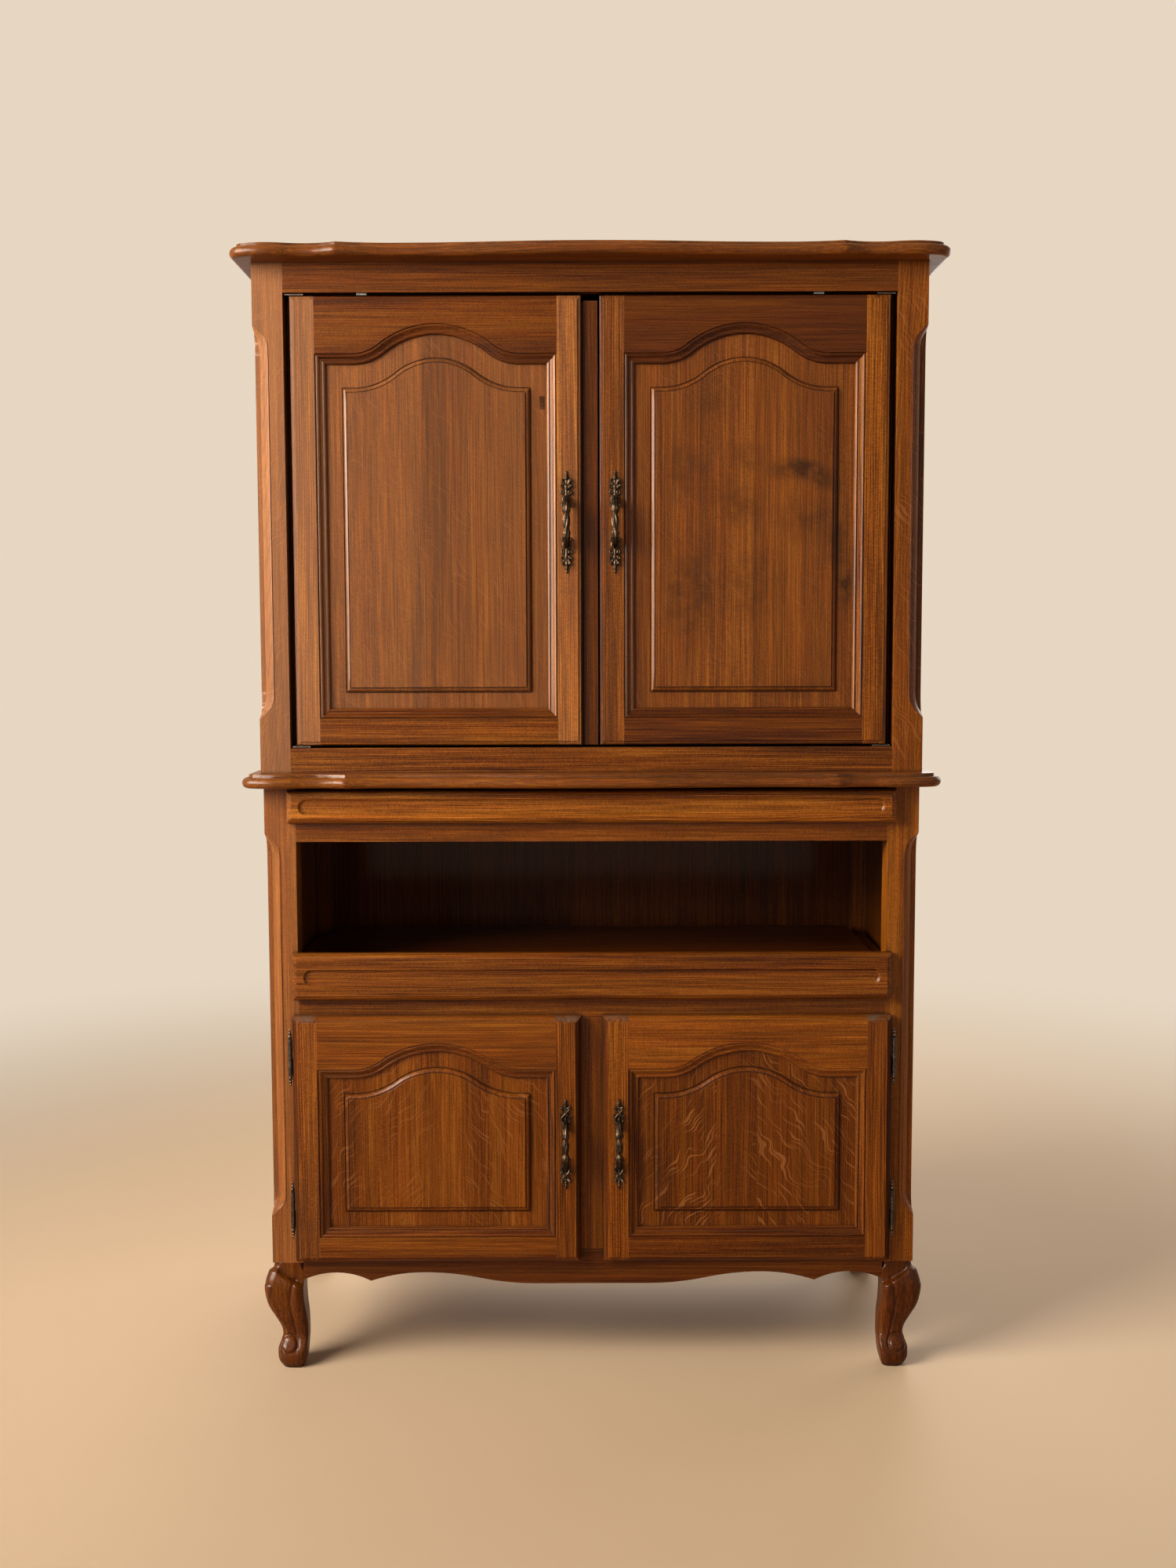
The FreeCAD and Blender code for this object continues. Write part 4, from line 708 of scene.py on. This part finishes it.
# upper half of each pull, and the right side of what stands in pairs; z is up from the middle
upperPull = {
    "boss": (0.0078, 0.0034, 0.0078),
    "rosette": {"rim": 0.80, "rimOut": -0.0028, "rimRadius": 0.0012,
                "ring": 0.0040, "petalOut": -0.0030, "petal": (0.0019, 0.0022, 0.0019)},
    "lobes": (  # of the plate: z, half width, half height
        (0.0275, 0.0060, 0.0085), (0.0480, 0.0066, 0.0080),
        (0.0600, 0.0070, 0.0085), (0.0705, 0.0036, 0.0060)),
    "stem": (  # y, z, radius
        (-0.0008, 0.026, 0.0030), (-0.0012, 0.050, 0.0026),
        (-0.0014, 0.066, 0.0022), (-0.0014, 0.0785, 0.0013)),
    "vine": (),
    "scrolls": (  # x, z, way, size, radius
        (0.0012, 0.0480, 1, 0.0042, 0.0017), (0.0016, 0.0265, -1, 0.0034, 0.0015)),
    "leaves": (  # foot, lean, length, half width, curl
        ((0.0010, -0.0008, 0.0530), 0.95, 0.0108, 0.0034, 0.0032),
        ((0.0008, -0.0008, 0.0570), 0.55, 0.0124, 0.0032, 0.0036),
        ((0.0010, -0.0006, 0.0650), 1.10, 0.0074, 0.0026, 0.0026)),
    "buds": (),
    "tipLeaf": ((0, -0.0006, 0.0580), 0, 0.0135, 0.0030, 0.0030),
    "beads": (  # y, z, radii
        (-0.0018, 0.0560, (0.0032, 0.0030, 0.0026)), (-0.0016, 0.0738, (0.0027, 0.0024, 0.0026)),
        (-0.0014, 0.0790, (0.0018, 0.0017, 0.0028))),
}
lowerPull = {
    "boss": (0.0052, 0.0030, 0.0062),
    "rosette": None,
    "lobes": (
        (0.0265, 0.0060, 0.0080), (0.0410, 0.0066, 0.0090),
        (0.0560, 0.0060, 0.0085), (0.0660, 0.0036, 0.0060)),
    "stem": ((-0.0006, 0.024, 0.0028), (-0.0010, 0.046, 0.0020), (-0.0010, 0.0735, 0.0012)),
    "vine": (  # one of two crossing stems with curled ends: x, y, z, radius
        (-0.0058, -0.0020, 0.0225, 0.0014), (-0.0030, -0.0032, 0.0275, 0.0017),
        (0.0045, -0.0030, 0.0350, 0.0018), (0.0068, -0.0026, 0.0425, 0.0017),
        (0.0030, -0.0034, 0.0490, 0.0017), (-0.0042, -0.0024, 0.0560, 0.0015),
        (-0.0066, -0.0020, 0.0610, 0.0012)),
    "scrolls": (),
    "leaves": (
        ((0.0040, 0, 0.0445), 0.80, 0.0078, 0.0026, 0.0032),
        ((0.0012, 0, 0.0580), 0.75, 0.0082, 0.0024, 0.0030)),
    "buds": ((0.0066, -0.0024, 0.0612, (0.0020, 0.0020, 0.0020)),),
    "tipLeaf": ((0, -0.0004, 0.0600), 0, 0.0120, 0.0026, 0.0026),
    "beads": ((-0.0016, 0.0735, (0.0020, 0.0019, 0.0024)),),
}


def modelGrip(bm):
    look = gripLook
    out, boss, grip = -look["reach"], look["boss"], look["grip"]
    half = [(0, -0.0015, boss, 0.0054), (0, -0.0085, boss - 0.0014, 0.0050),
            (0, 0.80 * out, boss - 0.0070, 0.0050), (0, out, boss - 0.0125, 0.0054),
            (0, out, boss - 0.0170, 0.0064), (0, out, boss - 0.0212, 0.0056),
            (0, out, boss - 0.0240, 0.0042), (0, out, 0.0088, 0.0050), (0, out, 0.0046, 0.96 * grip)]
    other = [(x, y, -z, radius) for x, y, z, radius in half[::-1]]
    addRod(bm, half + [(0, out, 0, grip)] + other, sides=28, flutes=look["flutes"],
           fluteDepth=look["fluteDepth"], twist=look["fluteTwist"])
    for up in (1, -1):
        for below, back, radii in look["collars"]:
            addBead(bm, (0, out + back, up * (boss - below)), radii)


def modelBoss(bm, look, z):
    addBead(bm, (0, 0, z), look["boss"])
    rosette = look["rosette"]
    if rosette:
        rim, out, radius = rosette["rim"] * look["boss"][0], rosette["rimOut"], rosette["rimRadius"]
        turns = [step * math.pi / 6 for step in range(13)]
        addRod(bm, [(rim * math.sin(turn), out, z + rim * math.cos(turn), radius) for turn in turns], sides=8)
        ring, out = rosette["ring"], rosette["petalOut"]
        for petal in range(6):
            turn = petal * math.pi / 3
            addBead(bm, (ring * math.sin(turn), out, z + ring * math.cos(turn)), rosette["petal"])


scrollLook = {"turns": 1.25, "steps": 12, "windIn": 0.80, "off": 0.0016, "rise": 0.0018, "taper": 0.35}


def scroll(x, z, side, up, size, radius):
    # stations of a scroll that winds in on itself
    look = scrollLook
    stations = []
    for step in range(look["steps"] + 1):
        t = step / look["steps"]
        angle = math.pi * (0.5 + 2 * look["turns"] * t)
        reach = size * (1 - look["windIn"] * t)
        stations.append((x + side * (size - reach * math.sin(angle)), -look["off"] - look["rise"] * t,
                         z + up * reach * math.cos(angle), radius * (1 - look["taper"] * t)))
    return stations


def modelPull(look):
    bm = bmesh.new()
    modelGrip(bm)
    for up in (1, -1):
        straight = 0 if up > 0 else math.pi
        modelBoss(bm, look, up * gripLook["boss"])
        for z, half, tall in look["lobes"]:
            addBead(bm, (0, 0, up * z), (half, gripLook["plate"], tall))
        addRod(bm, [(0, y, up * z, radius) for y, z, radius in look["stem"]], sides=10)
        for side in (1, -1):
            lean = side * up
            if look["vine"]:
                addRod(bm, [(lean * x, y, up * z, radius) for x, y, z, radius in look["vine"]], sides=9)
            for x, z, way, size, radius in look["scrolls"]:
                addRod(bm, scroll(side * x, up * z, side, way * up, size, radius), sides=8)
            for (x, y, z), turn, *shape in look["leaves"]:
                addLeaf(bm, (side * x, y, up * z), straight + lean * turn, *shape)
            for x, y, z, radii in look["buds"]:
                addBead(bm, (side * x, y, up * z), radii)
        (x, y, z), turn, *shape = look["tipLeaf"]
        addLeaf(bm, (x, y, up * z), straight + turn, *shape)
        for y, z, radii in look["beads"]:
            addBead(bm, (0, y, up * z), radii)
    return bm


def addPulls():
    for level, look in (("upper", upperPull), ("lower", lowerPull)):
        for side, hand in (("left", 1), ("right", -1)):
            node = f"{level}_door_pull_{side}"
            low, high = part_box(node)
            piece = finishMesh(modelPull(look), f"{level}_pull_{side}")
            middle = (low + high) / 2
            seat = Matrix.Translation((middle.x, high.y, middle.z))
            piece.data.transform(seat @ Matrix.Diagonal((hand, 1, 1, 1)))
            castInOne(piece)
            piece.data.materials.append(agedBrass)
            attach(piece, f"{level}_door_{side}")
            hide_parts(node)


addPulls()
print("pulls cast")


# cabriole legs: smooth knee, bead down the inner edge, volute on the toe
legLook = {
    # sizes in millimetres
    "height": 176.0, "outer": 535.0, "inner": 484.0, "face": -199.0, "depth": 45.0,
    # height share, swell outwards, inwards, forwards, backwards
    "stations": (
        (1.00, 0.0, 0.0, 0.0, 0.0), (0.92, 7.5, 0.0, 7.5, 0.0), (0.80, 13.5, 0.0, 13.5, 0.0),
        (0.69, 12.5, 0.0, 13.0, 0.0), (0.58, 7.5, 1.5, 11.0, -2.0), (0.46, -3.5, 4.5, 7.0, -6.0),
        (0.36, -12.0, 5.5, 4.0, -9.0), (0.28, -14.0, 5.8, 5.5, -10.0), (0.21, -9.5, 5.2, 13.0, -12.0),
        (0.13, -7.0, 4.2, 18.0, -14.0), (0.06, -9.0, 2.2, 18.0, -17.0), (0.00, -14.5, -1.0, 13.0, -22.0)),
    # how far across the face the groove beside the bead runs, by height
    "groove": ((0, 0.70), (30, 0.66), (42, 0.61), (50, 0.55), (63, 0.53), (90, 0.60), (115, 0.66),
               (135, 0.71), (150, 0.79), (176, 0.90)),
    "grooveDepth": 2.0, "grooveWidth": 2.0, "faceWidth": 46.0,
    "carveFoot": (22.0, 14.0), "carveTop": 4.0,  # heights over which the carving starts and ends
    "beadRise": 1.0, "beadUp": 4.0, "beadDown": (9.0, 7.0),
    # top edge of the knee, by share across the face
    "kneeLine": ((0.0, 172.0), (0.15, 169.0), (0.40, 159.0), (0.62, 152.0), (0.82, 144.0), (1.0, 139.5)),
    "kneeLip": 4.0, "kneeEase": 10.0, "kneeCorner": 0.25,
    "volute": (507.5, 39.5), "voluteRadius": 14.0, "voluteRise": 3.4, "voluteGroove": 2.3,
    # in shares of the radius: its reach, where it drowns the bead, its dome and its rim
    "voluteReach": 1.4, "voluteClear": (1.0, 0.3), "voluteDome": (0.55, 0.45), "voluteRim": (0.98, 0.13),
    "voluteOpen": 0.8, "voluteToe": ((4.0, 6.0), (14.0, 8.0)),  # how far, and where, the rim fades at the toe
    "rings": 148, "frontPoints": 44, "sidePoints": 40, "cornerOut": 16.0, "cornerIn": 11.0,
}


def along(table, at):
    # value at a point of a table, with straight runs between its rows
    for (a, va), (b, vb) in zip(table, table[1:]):
        if a <= at <= b:
            return va + (vb - va) * (at - a) / (b - a)
    return table[0][1] if at < table[0][0] else table[-1][1]


def ease(t):
    t = min(max(t, 0.0), 1.0)
    return t * t * (3 - 2 * t)


def legSwell(share):
    # smooth swell of each side at a height share
    rows = legLook["stations"][::-1]
    for index in range(len(rows) - 1):
        low, high = rows[index], rows[index + 1]
        if low[0] <= share <= high[0]:
            before, after = rows[max(index - 1, 0)], rows[min(index + 2, len(rows) - 1)]
            span = high[0] - low[0]
            t = (share - low[0]) / span
            values = []
            for k in range(1, 5):
                m0 = (high[k] - before[k]) / max(high[0] - before[0], 0.01) * span
                m1 = (after[k] - low[k]) / max(after[0] - low[0], 0.01) * span
                values.append((2 * t ** 3 - 3 * t * t + 1) * low[k] + (t ** 3 - 2 * t * t + t) * m0
                              + (3 * t * t - 2 * t ** 3) * high[k] + (t ** 3 - t * t) * m1)
            return values
    return rows[-1][1:]


def kneeTop(s):
    return along(legLook["kneeLine"], s)


def kneeShare(s, z):
    # none of the swell above the top edge of the knee, a rounded lip, then all of it
    lip = legLook["kneeLip"] + legLook["kneeEase"] * (1 - ease(s / legLook["kneeCorner"]))
    return ease((kneeTop(s) - z) / lip)


def carve(s, z):
    # depth of the carving on a face, s across it from the outer corner
    look = legLook
    foot, over = look["carveFoot"]
    fade = ease((z - foot) / over) * (1 - ease((z - kneeTop(s)) / look["carveTop"]))
    off = (s - along(look["groove"], z)) * look["faceWidth"]
    cut = -look["grooveDepth"] * math.exp(-(off / look["grooveWidth"]) ** 2)
    if off > 0:
        crest, over = look["beadDown"]
        cut += look["beadRise"] * ease(off / look["beadUp"]) * (1 - ease((off - crest) / over))
    return cut * fade


def carveVolute(x, z, cut):
    # a dome and its rim on the toe, in place of the bead
    look = legLook
    vx, vz = -look["volute"][0], look["volute"][1]
    r = math.hypot(x - vx, z - vz) / look["voluteRadius"]
    if r >= look["voluteReach"]:
        return cut
    clear, dome, rim = look["voluteClear"], look["voluteDome"], look["voluteRim"]
    (drop, fall), (aside, run) = look["voluteToe"]
    lower = ease((vz - z - drop) / fall) * ease((x - vx + aside) / run)
    cut = cut * ease((r - clear[0]) / clear[1]) - look["voluteRise"] * (1 - ease((r - dome[0]) / dome[1]))
    groove = look["voluteGroove"] * math.exp(-((r - rim[0]) / rim[1]) ** 2)
    return cut + groove * (1 - look["voluteOpen"] * lower)


def legRing(z):
    look = legLook
    outward, inward, forward, backward = legSwell(z / look["height"])
    x0, x1 = -look["outer"], -look["inner"]
    y0, y1 = look["face"], look["face"] + look["depth"]
    frontCount, sideCount = look["frontPoints"], look["sidePoints"]

    def place(s, t):
        # s across the front from the outer corner, t back along the side
        left = x0 - outward * kneeShare(t if s == 0 else 0.0, z)
        right = x1 + inward
        front = y0 - forward * kneeShare(s, z)
        back = y1 + backward
        return left + (right - left) * s, front + (back - front) * t

    ring = []
    for i in range(frontCount):
        s = i / frontCount
        x, y = place(s, 0)
        ring.append([x, y + carveVolute(x, z, -carve(s, z))])
    for i in range(sideCount):
        ring.append(list(place(1, i / sideCount)))
    for i in range(frontCount):
        ring.append(list(place(1 - i / frontCount, 1)))
    for i in range(sideCount):
        t = 1 - i / sideCount
        x, y = place(0, t)
        ring.append([x - carve(t, z), y])
    return roundCorners(ring)


def roundCorners(ring):
    # pulls the four corners in to a round
    look = legLook
    xs, ys = [p[0] for p in ring], [p[1] for p in ring]
    left, right, front, back = min(xs), max(xs), min(ys), max(ys)
    for p in ring:
        for cx, sx in ((left, 1), (right, -1)):
            for cy, sy in ((front, 1), (back, -1)):
                corner = look["cornerOut"] if cx == left and cy == front else look["cornerIn"]
                ux, uy = corner - sx * (p[0] - cx), corner - sy * (p[1] - cy)
                if ux > 0 and uy > 0:
                    reach = math.hypot(ux, uy)
                    if reach > corner:
                        p[0] += sx * ux * (1 - corner / reach)
                        p[1] += sy * uy * (1 - corner / reach)
    return ring


def addLegs():
    bm = bmesh.new()
    for hand in (1, -1):
        rings = []
        for index in range(legLook["rings"]):
            z = legLook["height"] * index / (legLook["rings"] - 1)
            rings.append([bm.verts.new((hand * x / 1000, y / 1000, z / 1000)) for x, y in legRing(z)])
        skin(bm, rings, flip=hand < 0)
    legs = finishMesh(bm, "carved_front_legs")
    for face in legs.data.polygons:
        face.use_smooth = len(face.vertices) == 4
    legs.data.materials.append(bpy.data.materials["front_legsOak"])
    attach(legs, "cabinet")
    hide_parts("front_legs")


addLegs()
print("legs carved")


# door panels: raised field with a bead between two quirks
panelLook = {
    "tongue": 9.0, "recess": 10.0, "thickness": 7.0, "fieldSink": 3.0, "land": 44.0, "crownShare": 0.62,
    "rise": {"upper": 47.0, "lower": 44.0},
    "drop": {"upper": 10.5, "lower": 0.0},  # the field's arch under that of the frame
    # way in from the sight line and depth under the door's face, in millimetres
    "bead": ((25.0, 10.0), (25.6, 11.2), (26.8, 11.2), (27.2, 8.6), (27.8, 7.2), (28.7, 6.2), (30.0, 5.4),
             (31.4, 4.75), (32.4, 4.50), (32.9, 5.4), (34.0, 5.4), (34.3, 3.4), (34.7, 3.0)),
    "sidePoints": 24, "shoulderPoints": 6, "archPoints": 24, "footPoints": 20, "sharpAngle": 32.0,
}


def archLoop(middle, sight, low, crown, rise, grow):
    # outline of the arched opening, grown from the sight line, as points across and up
    look = panelLook
    half, low, crown = sight + grow, low - grow, crown + grow
    shoulder = crown - rise
    reach = sight - look["land"]
    both = (reach ** 2 + rise ** 2) / (2 * rise)  # radii of the brow and the hollow together
    turn = math.asin(reach / both)
    brow = look["crownShare"] * both + grow
    hollow = (1 - look["crownShare"]) * both - grow
    side, flat, arch, foot = [look[name + "Points"] for name in ("side", "shoulder", "arch", "foot")]
    right = [(half, low + (shoulder - low) * k / side) for k in range(side)]
    right += [(half + (reach - half) * k / flat, shoulder) for k in range(flat)]
    for k in range(arch):
        a = turn * k / arch
        right.append((reach - hollow * math.sin(a), shoulder + hollow - hollow * math.cos(a)))
    for k in range(arch):
        a = turn * (1 - k / arch)
        right.append((brow * math.sin(a), crown - brow + brow * math.cos(a)))
    bottom = [(-half + 2 * half * k / foot, low) for k in range(1, foot)]
    left = [(-x, z) for x, z in right[::-1]]
    return [(middle + x, z) for x, z in bottom + right + [(0, crown)] + left]


def addPanels():
    look = panelLook
    for door in doorMiddles:
        level, side = door.split("_")
        node = f"{level}_door_panel_{side}"
        low, high = [1000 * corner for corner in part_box(node)]
        middle, sight = (low.x + high.x) / 2, (high.x - low.x) / 2 - look["tongue"]
        face = low.y - look["fieldSink"]
        back = look["recess"] + look["thickness"]
        rows = [(-look["tongue"], back, False), (-look["tongue"], look["recess"], False)]
        rows += [(inset, depth, True) for inset, depth in look["bead"]]
        bm = bmesh.new()
        loops = []
        for inset, depth, lowered in rows:
            crown = high.z - look["tongue"] - (look["drop"][level] if lowered else 0)
            loop = archLoop(middle, sight, low.z + look["tongue"], crown, look["rise"][level], -inset)
            loops.append([bm.verts.new((x / 1000, (face + depth) / 1000, z / 1000)) for x, z in loop])
        skin(bm, loops)
        panel = finishMesh(bm, f"{level}_panel_{side}")
        for polygon in panel.data.polygons:
            polygon.use_smooth = True
        panel.data.set_sharp_from_angle(angle=math.radians(look["sharpAngle"]))
        panel.data.materials.append(bpy.data.materials[node + "Oak"])
        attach(panel, f"{level}_door_{side}")
        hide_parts(node)


addPanels()
print("panels fielded")


# floor, light and camera
room = {
    "floor": (0.63, 0.46, 0.30, 1.0),
    "floorStain": (0.57, 0.41, 0.26, 1.0),
    "stainShare": 0.10,
    "stainWindow": (0.3, 0.7),
    "stainScale": (5, 5, 5),
    "floorRough": 0.55,
    "floorShine": 0.25,
    "floorHalf": 14.0,
    "air": (0.80, 0.68, 0.54, 1.0),
    "airLight": 0.19,
    "fadeFrom": 1.0,
    "fadeTo": 3.4,
}


def seenRays(tree):
    # 1 where the eye, a mirror or a glass looks at the background, 0 for the light that it gives
    path = put(tree, "ShaderNodeLightPath").outputs
    seen = sums(tree, "MAXIMUM", path["Is Camera Ray"], path["Is Glossy Ray"])
    return sums(tree, "MAXIMUM", seen, path["Is Transmission Ray"])


def addFloor():
    mesh = bpy.data.meshes.new("floor")
    half = room["floorHalf"]
    corners = [(-half, -half, 0), (half, -half, 0), (half, half, 0), (-half, half, 0)]
    mesh.from_pydata(corners, [], [(0, 1, 2, 3)])
    floor = bpy.data.objects.new("floor", mesh)
    scene.collection.objects.link(floor)
    material, tree, shader = newMaterial("paleFloor")
    place = put(tree, "ShaderNodeTexCoord").outputs["Object"]
    speckle = cloud(tree, place, room["stainScale"], detail=4)
    stained = between(tree, speckle, *room["stainWindow"], 0.0, room["stainShare"])
    feed(tree, shader.inputs["Base Color"], blendColour(tree, stained, room["floor"], room["floorStain"]))
    shader.inputs["Roughness"].default_value = room["floorRough"]
    shader.inputs["Specular IOR Level"].default_value = room["floorShine"]
    # far away the floor runs into the air, so that no horizon shows
    glow = put(tree, "ShaderNodeEmission")
    glow.inputs["Color"].default_value = room["air"]
    away = put(tree, "ShaderNodeVectorMath", operation="LENGTH")
    feed(tree, away.inputs[0], place)
    share = between(tree, away.outputs["Value"], room["fadeFrom"], room["fadeTo"])
    share = sums(tree, "MULTIPLY", share, seenRays(tree))
    mixed = put(tree, "ShaderNodeMixShader")
    feed(tree, mixed.inputs[0], share)
    feed(tree, mixed.inputs[1], shader.outputs[0])
    feed(tree, mixed.inputs[2], glow.outputs[0])
    feed(tree, tree.nodes["Material Output"].inputs["Surface"], mixed.outputs[0])
    mesh.materials.append(material)


def addAir():
    world = bpy.data.worlds.new("studioAir")
    scene.world = world
    world.use_nodes = True
    tree = world.node_tree
    back = tree.nodes["Background"]
    back.inputs["Color"].default_value = room["air"]
    feed(tree, back.inputs["Strength"], between(tree, seenRays(tree), 0.0, 1.0, room["airLight"], 1.0))


lamps = {
    "windowSide": {"at": (-2.65, -1.62, 2.40), "aim": (0.0, -0.1, 1.25), "size": (1.9, 1.9), "power": 82.0,
                   "spread": 105.0, "colour": (1.0, 0.93, 0.84)},
    "windowGlint": {"at": (-2.9, -2.30, 1.80), "aim": (0.0, -0.2, 1.4), "size": (3.2, 1.8), "power": 440.0,
                    "spread": 180.0, "colour": (1.0, 0.90, 0.78), "polishOnly": True},
    "roomSide": {"at": (2.6, -3.2, 1.9), "aim": (0.0, 0.0, 0.9), "size": (2.6, 2.6), "power": 8.0,
                 "spread": 180.0, "colour": (1.0, 0.90, 0.78)},
    "farSide": {"at": (2.8, 2.2, 1.9), "aim": (0.5, 0.1, 0.9), "size": (1.6, 1.6), "power": 14.0,
                "spread": 120.0, "colour": (1.0, 0.93, 0.84)},
    "behind": {"at": (0.6, 3.2, 2.4), "aim": (0.0, 0.0, 1.0), "size": (2.4, 2.4), "power": 60.0,
               "spread": 180.0, "colour": (1.0, 0.95, 0.90)},
}


def addLamps():
    for name, look in lamps.items():
        lamp = bpy.data.lights.new(name, "AREA")
        lamp.shape = "RECTANGLE"
        lamp.size, lamp.size_y = look["size"]
        lamp.energy = look["power"]
        lamp.color = look["colour"]
        lamp.spread = math.radians(look["spread"])
        stand = bpy.data.objects.new(name, lamp)
        stand.location = look["at"]
        aim = Vector(look["aim"]) - Vector(look["at"])
        stand.rotation_euler = aim.to_track_quat("-Z", "Y").to_euler()
        stand.visible_diffuse = not look.get("polishOnly", False)  # the glint shows in the polish alone
        scene.collection.objects.link(stand)


cameraSet = {"at": (-0.005, -2.832, 1.2011), "down": 4.84, "roll": 0.16, "lens": 37.19, "sensor": 36.0}


def addCamera():
    lens = bpy.data.cameras.new("view")
    lens.sensor_fit = "VERTICAL"
    lens.sensor_height = cameraSet["sensor"]
    lens.lens = cameraSet["lens"]
    view = bpy.data.objects.new("view", lens)
    view.location = cameraSet["at"]
    view.rotation_euler = (math.radians(90 - cameraSet["down"]), math.radians(cameraSet["roll"]), 0)
    scene.collection.objects.link(view)
    scene.camera = view


addFloor()
addAir()
addLamps()
addCamera()
scene.view_settings.view_transform = "Standard"
print("floor, lamps and camera set")
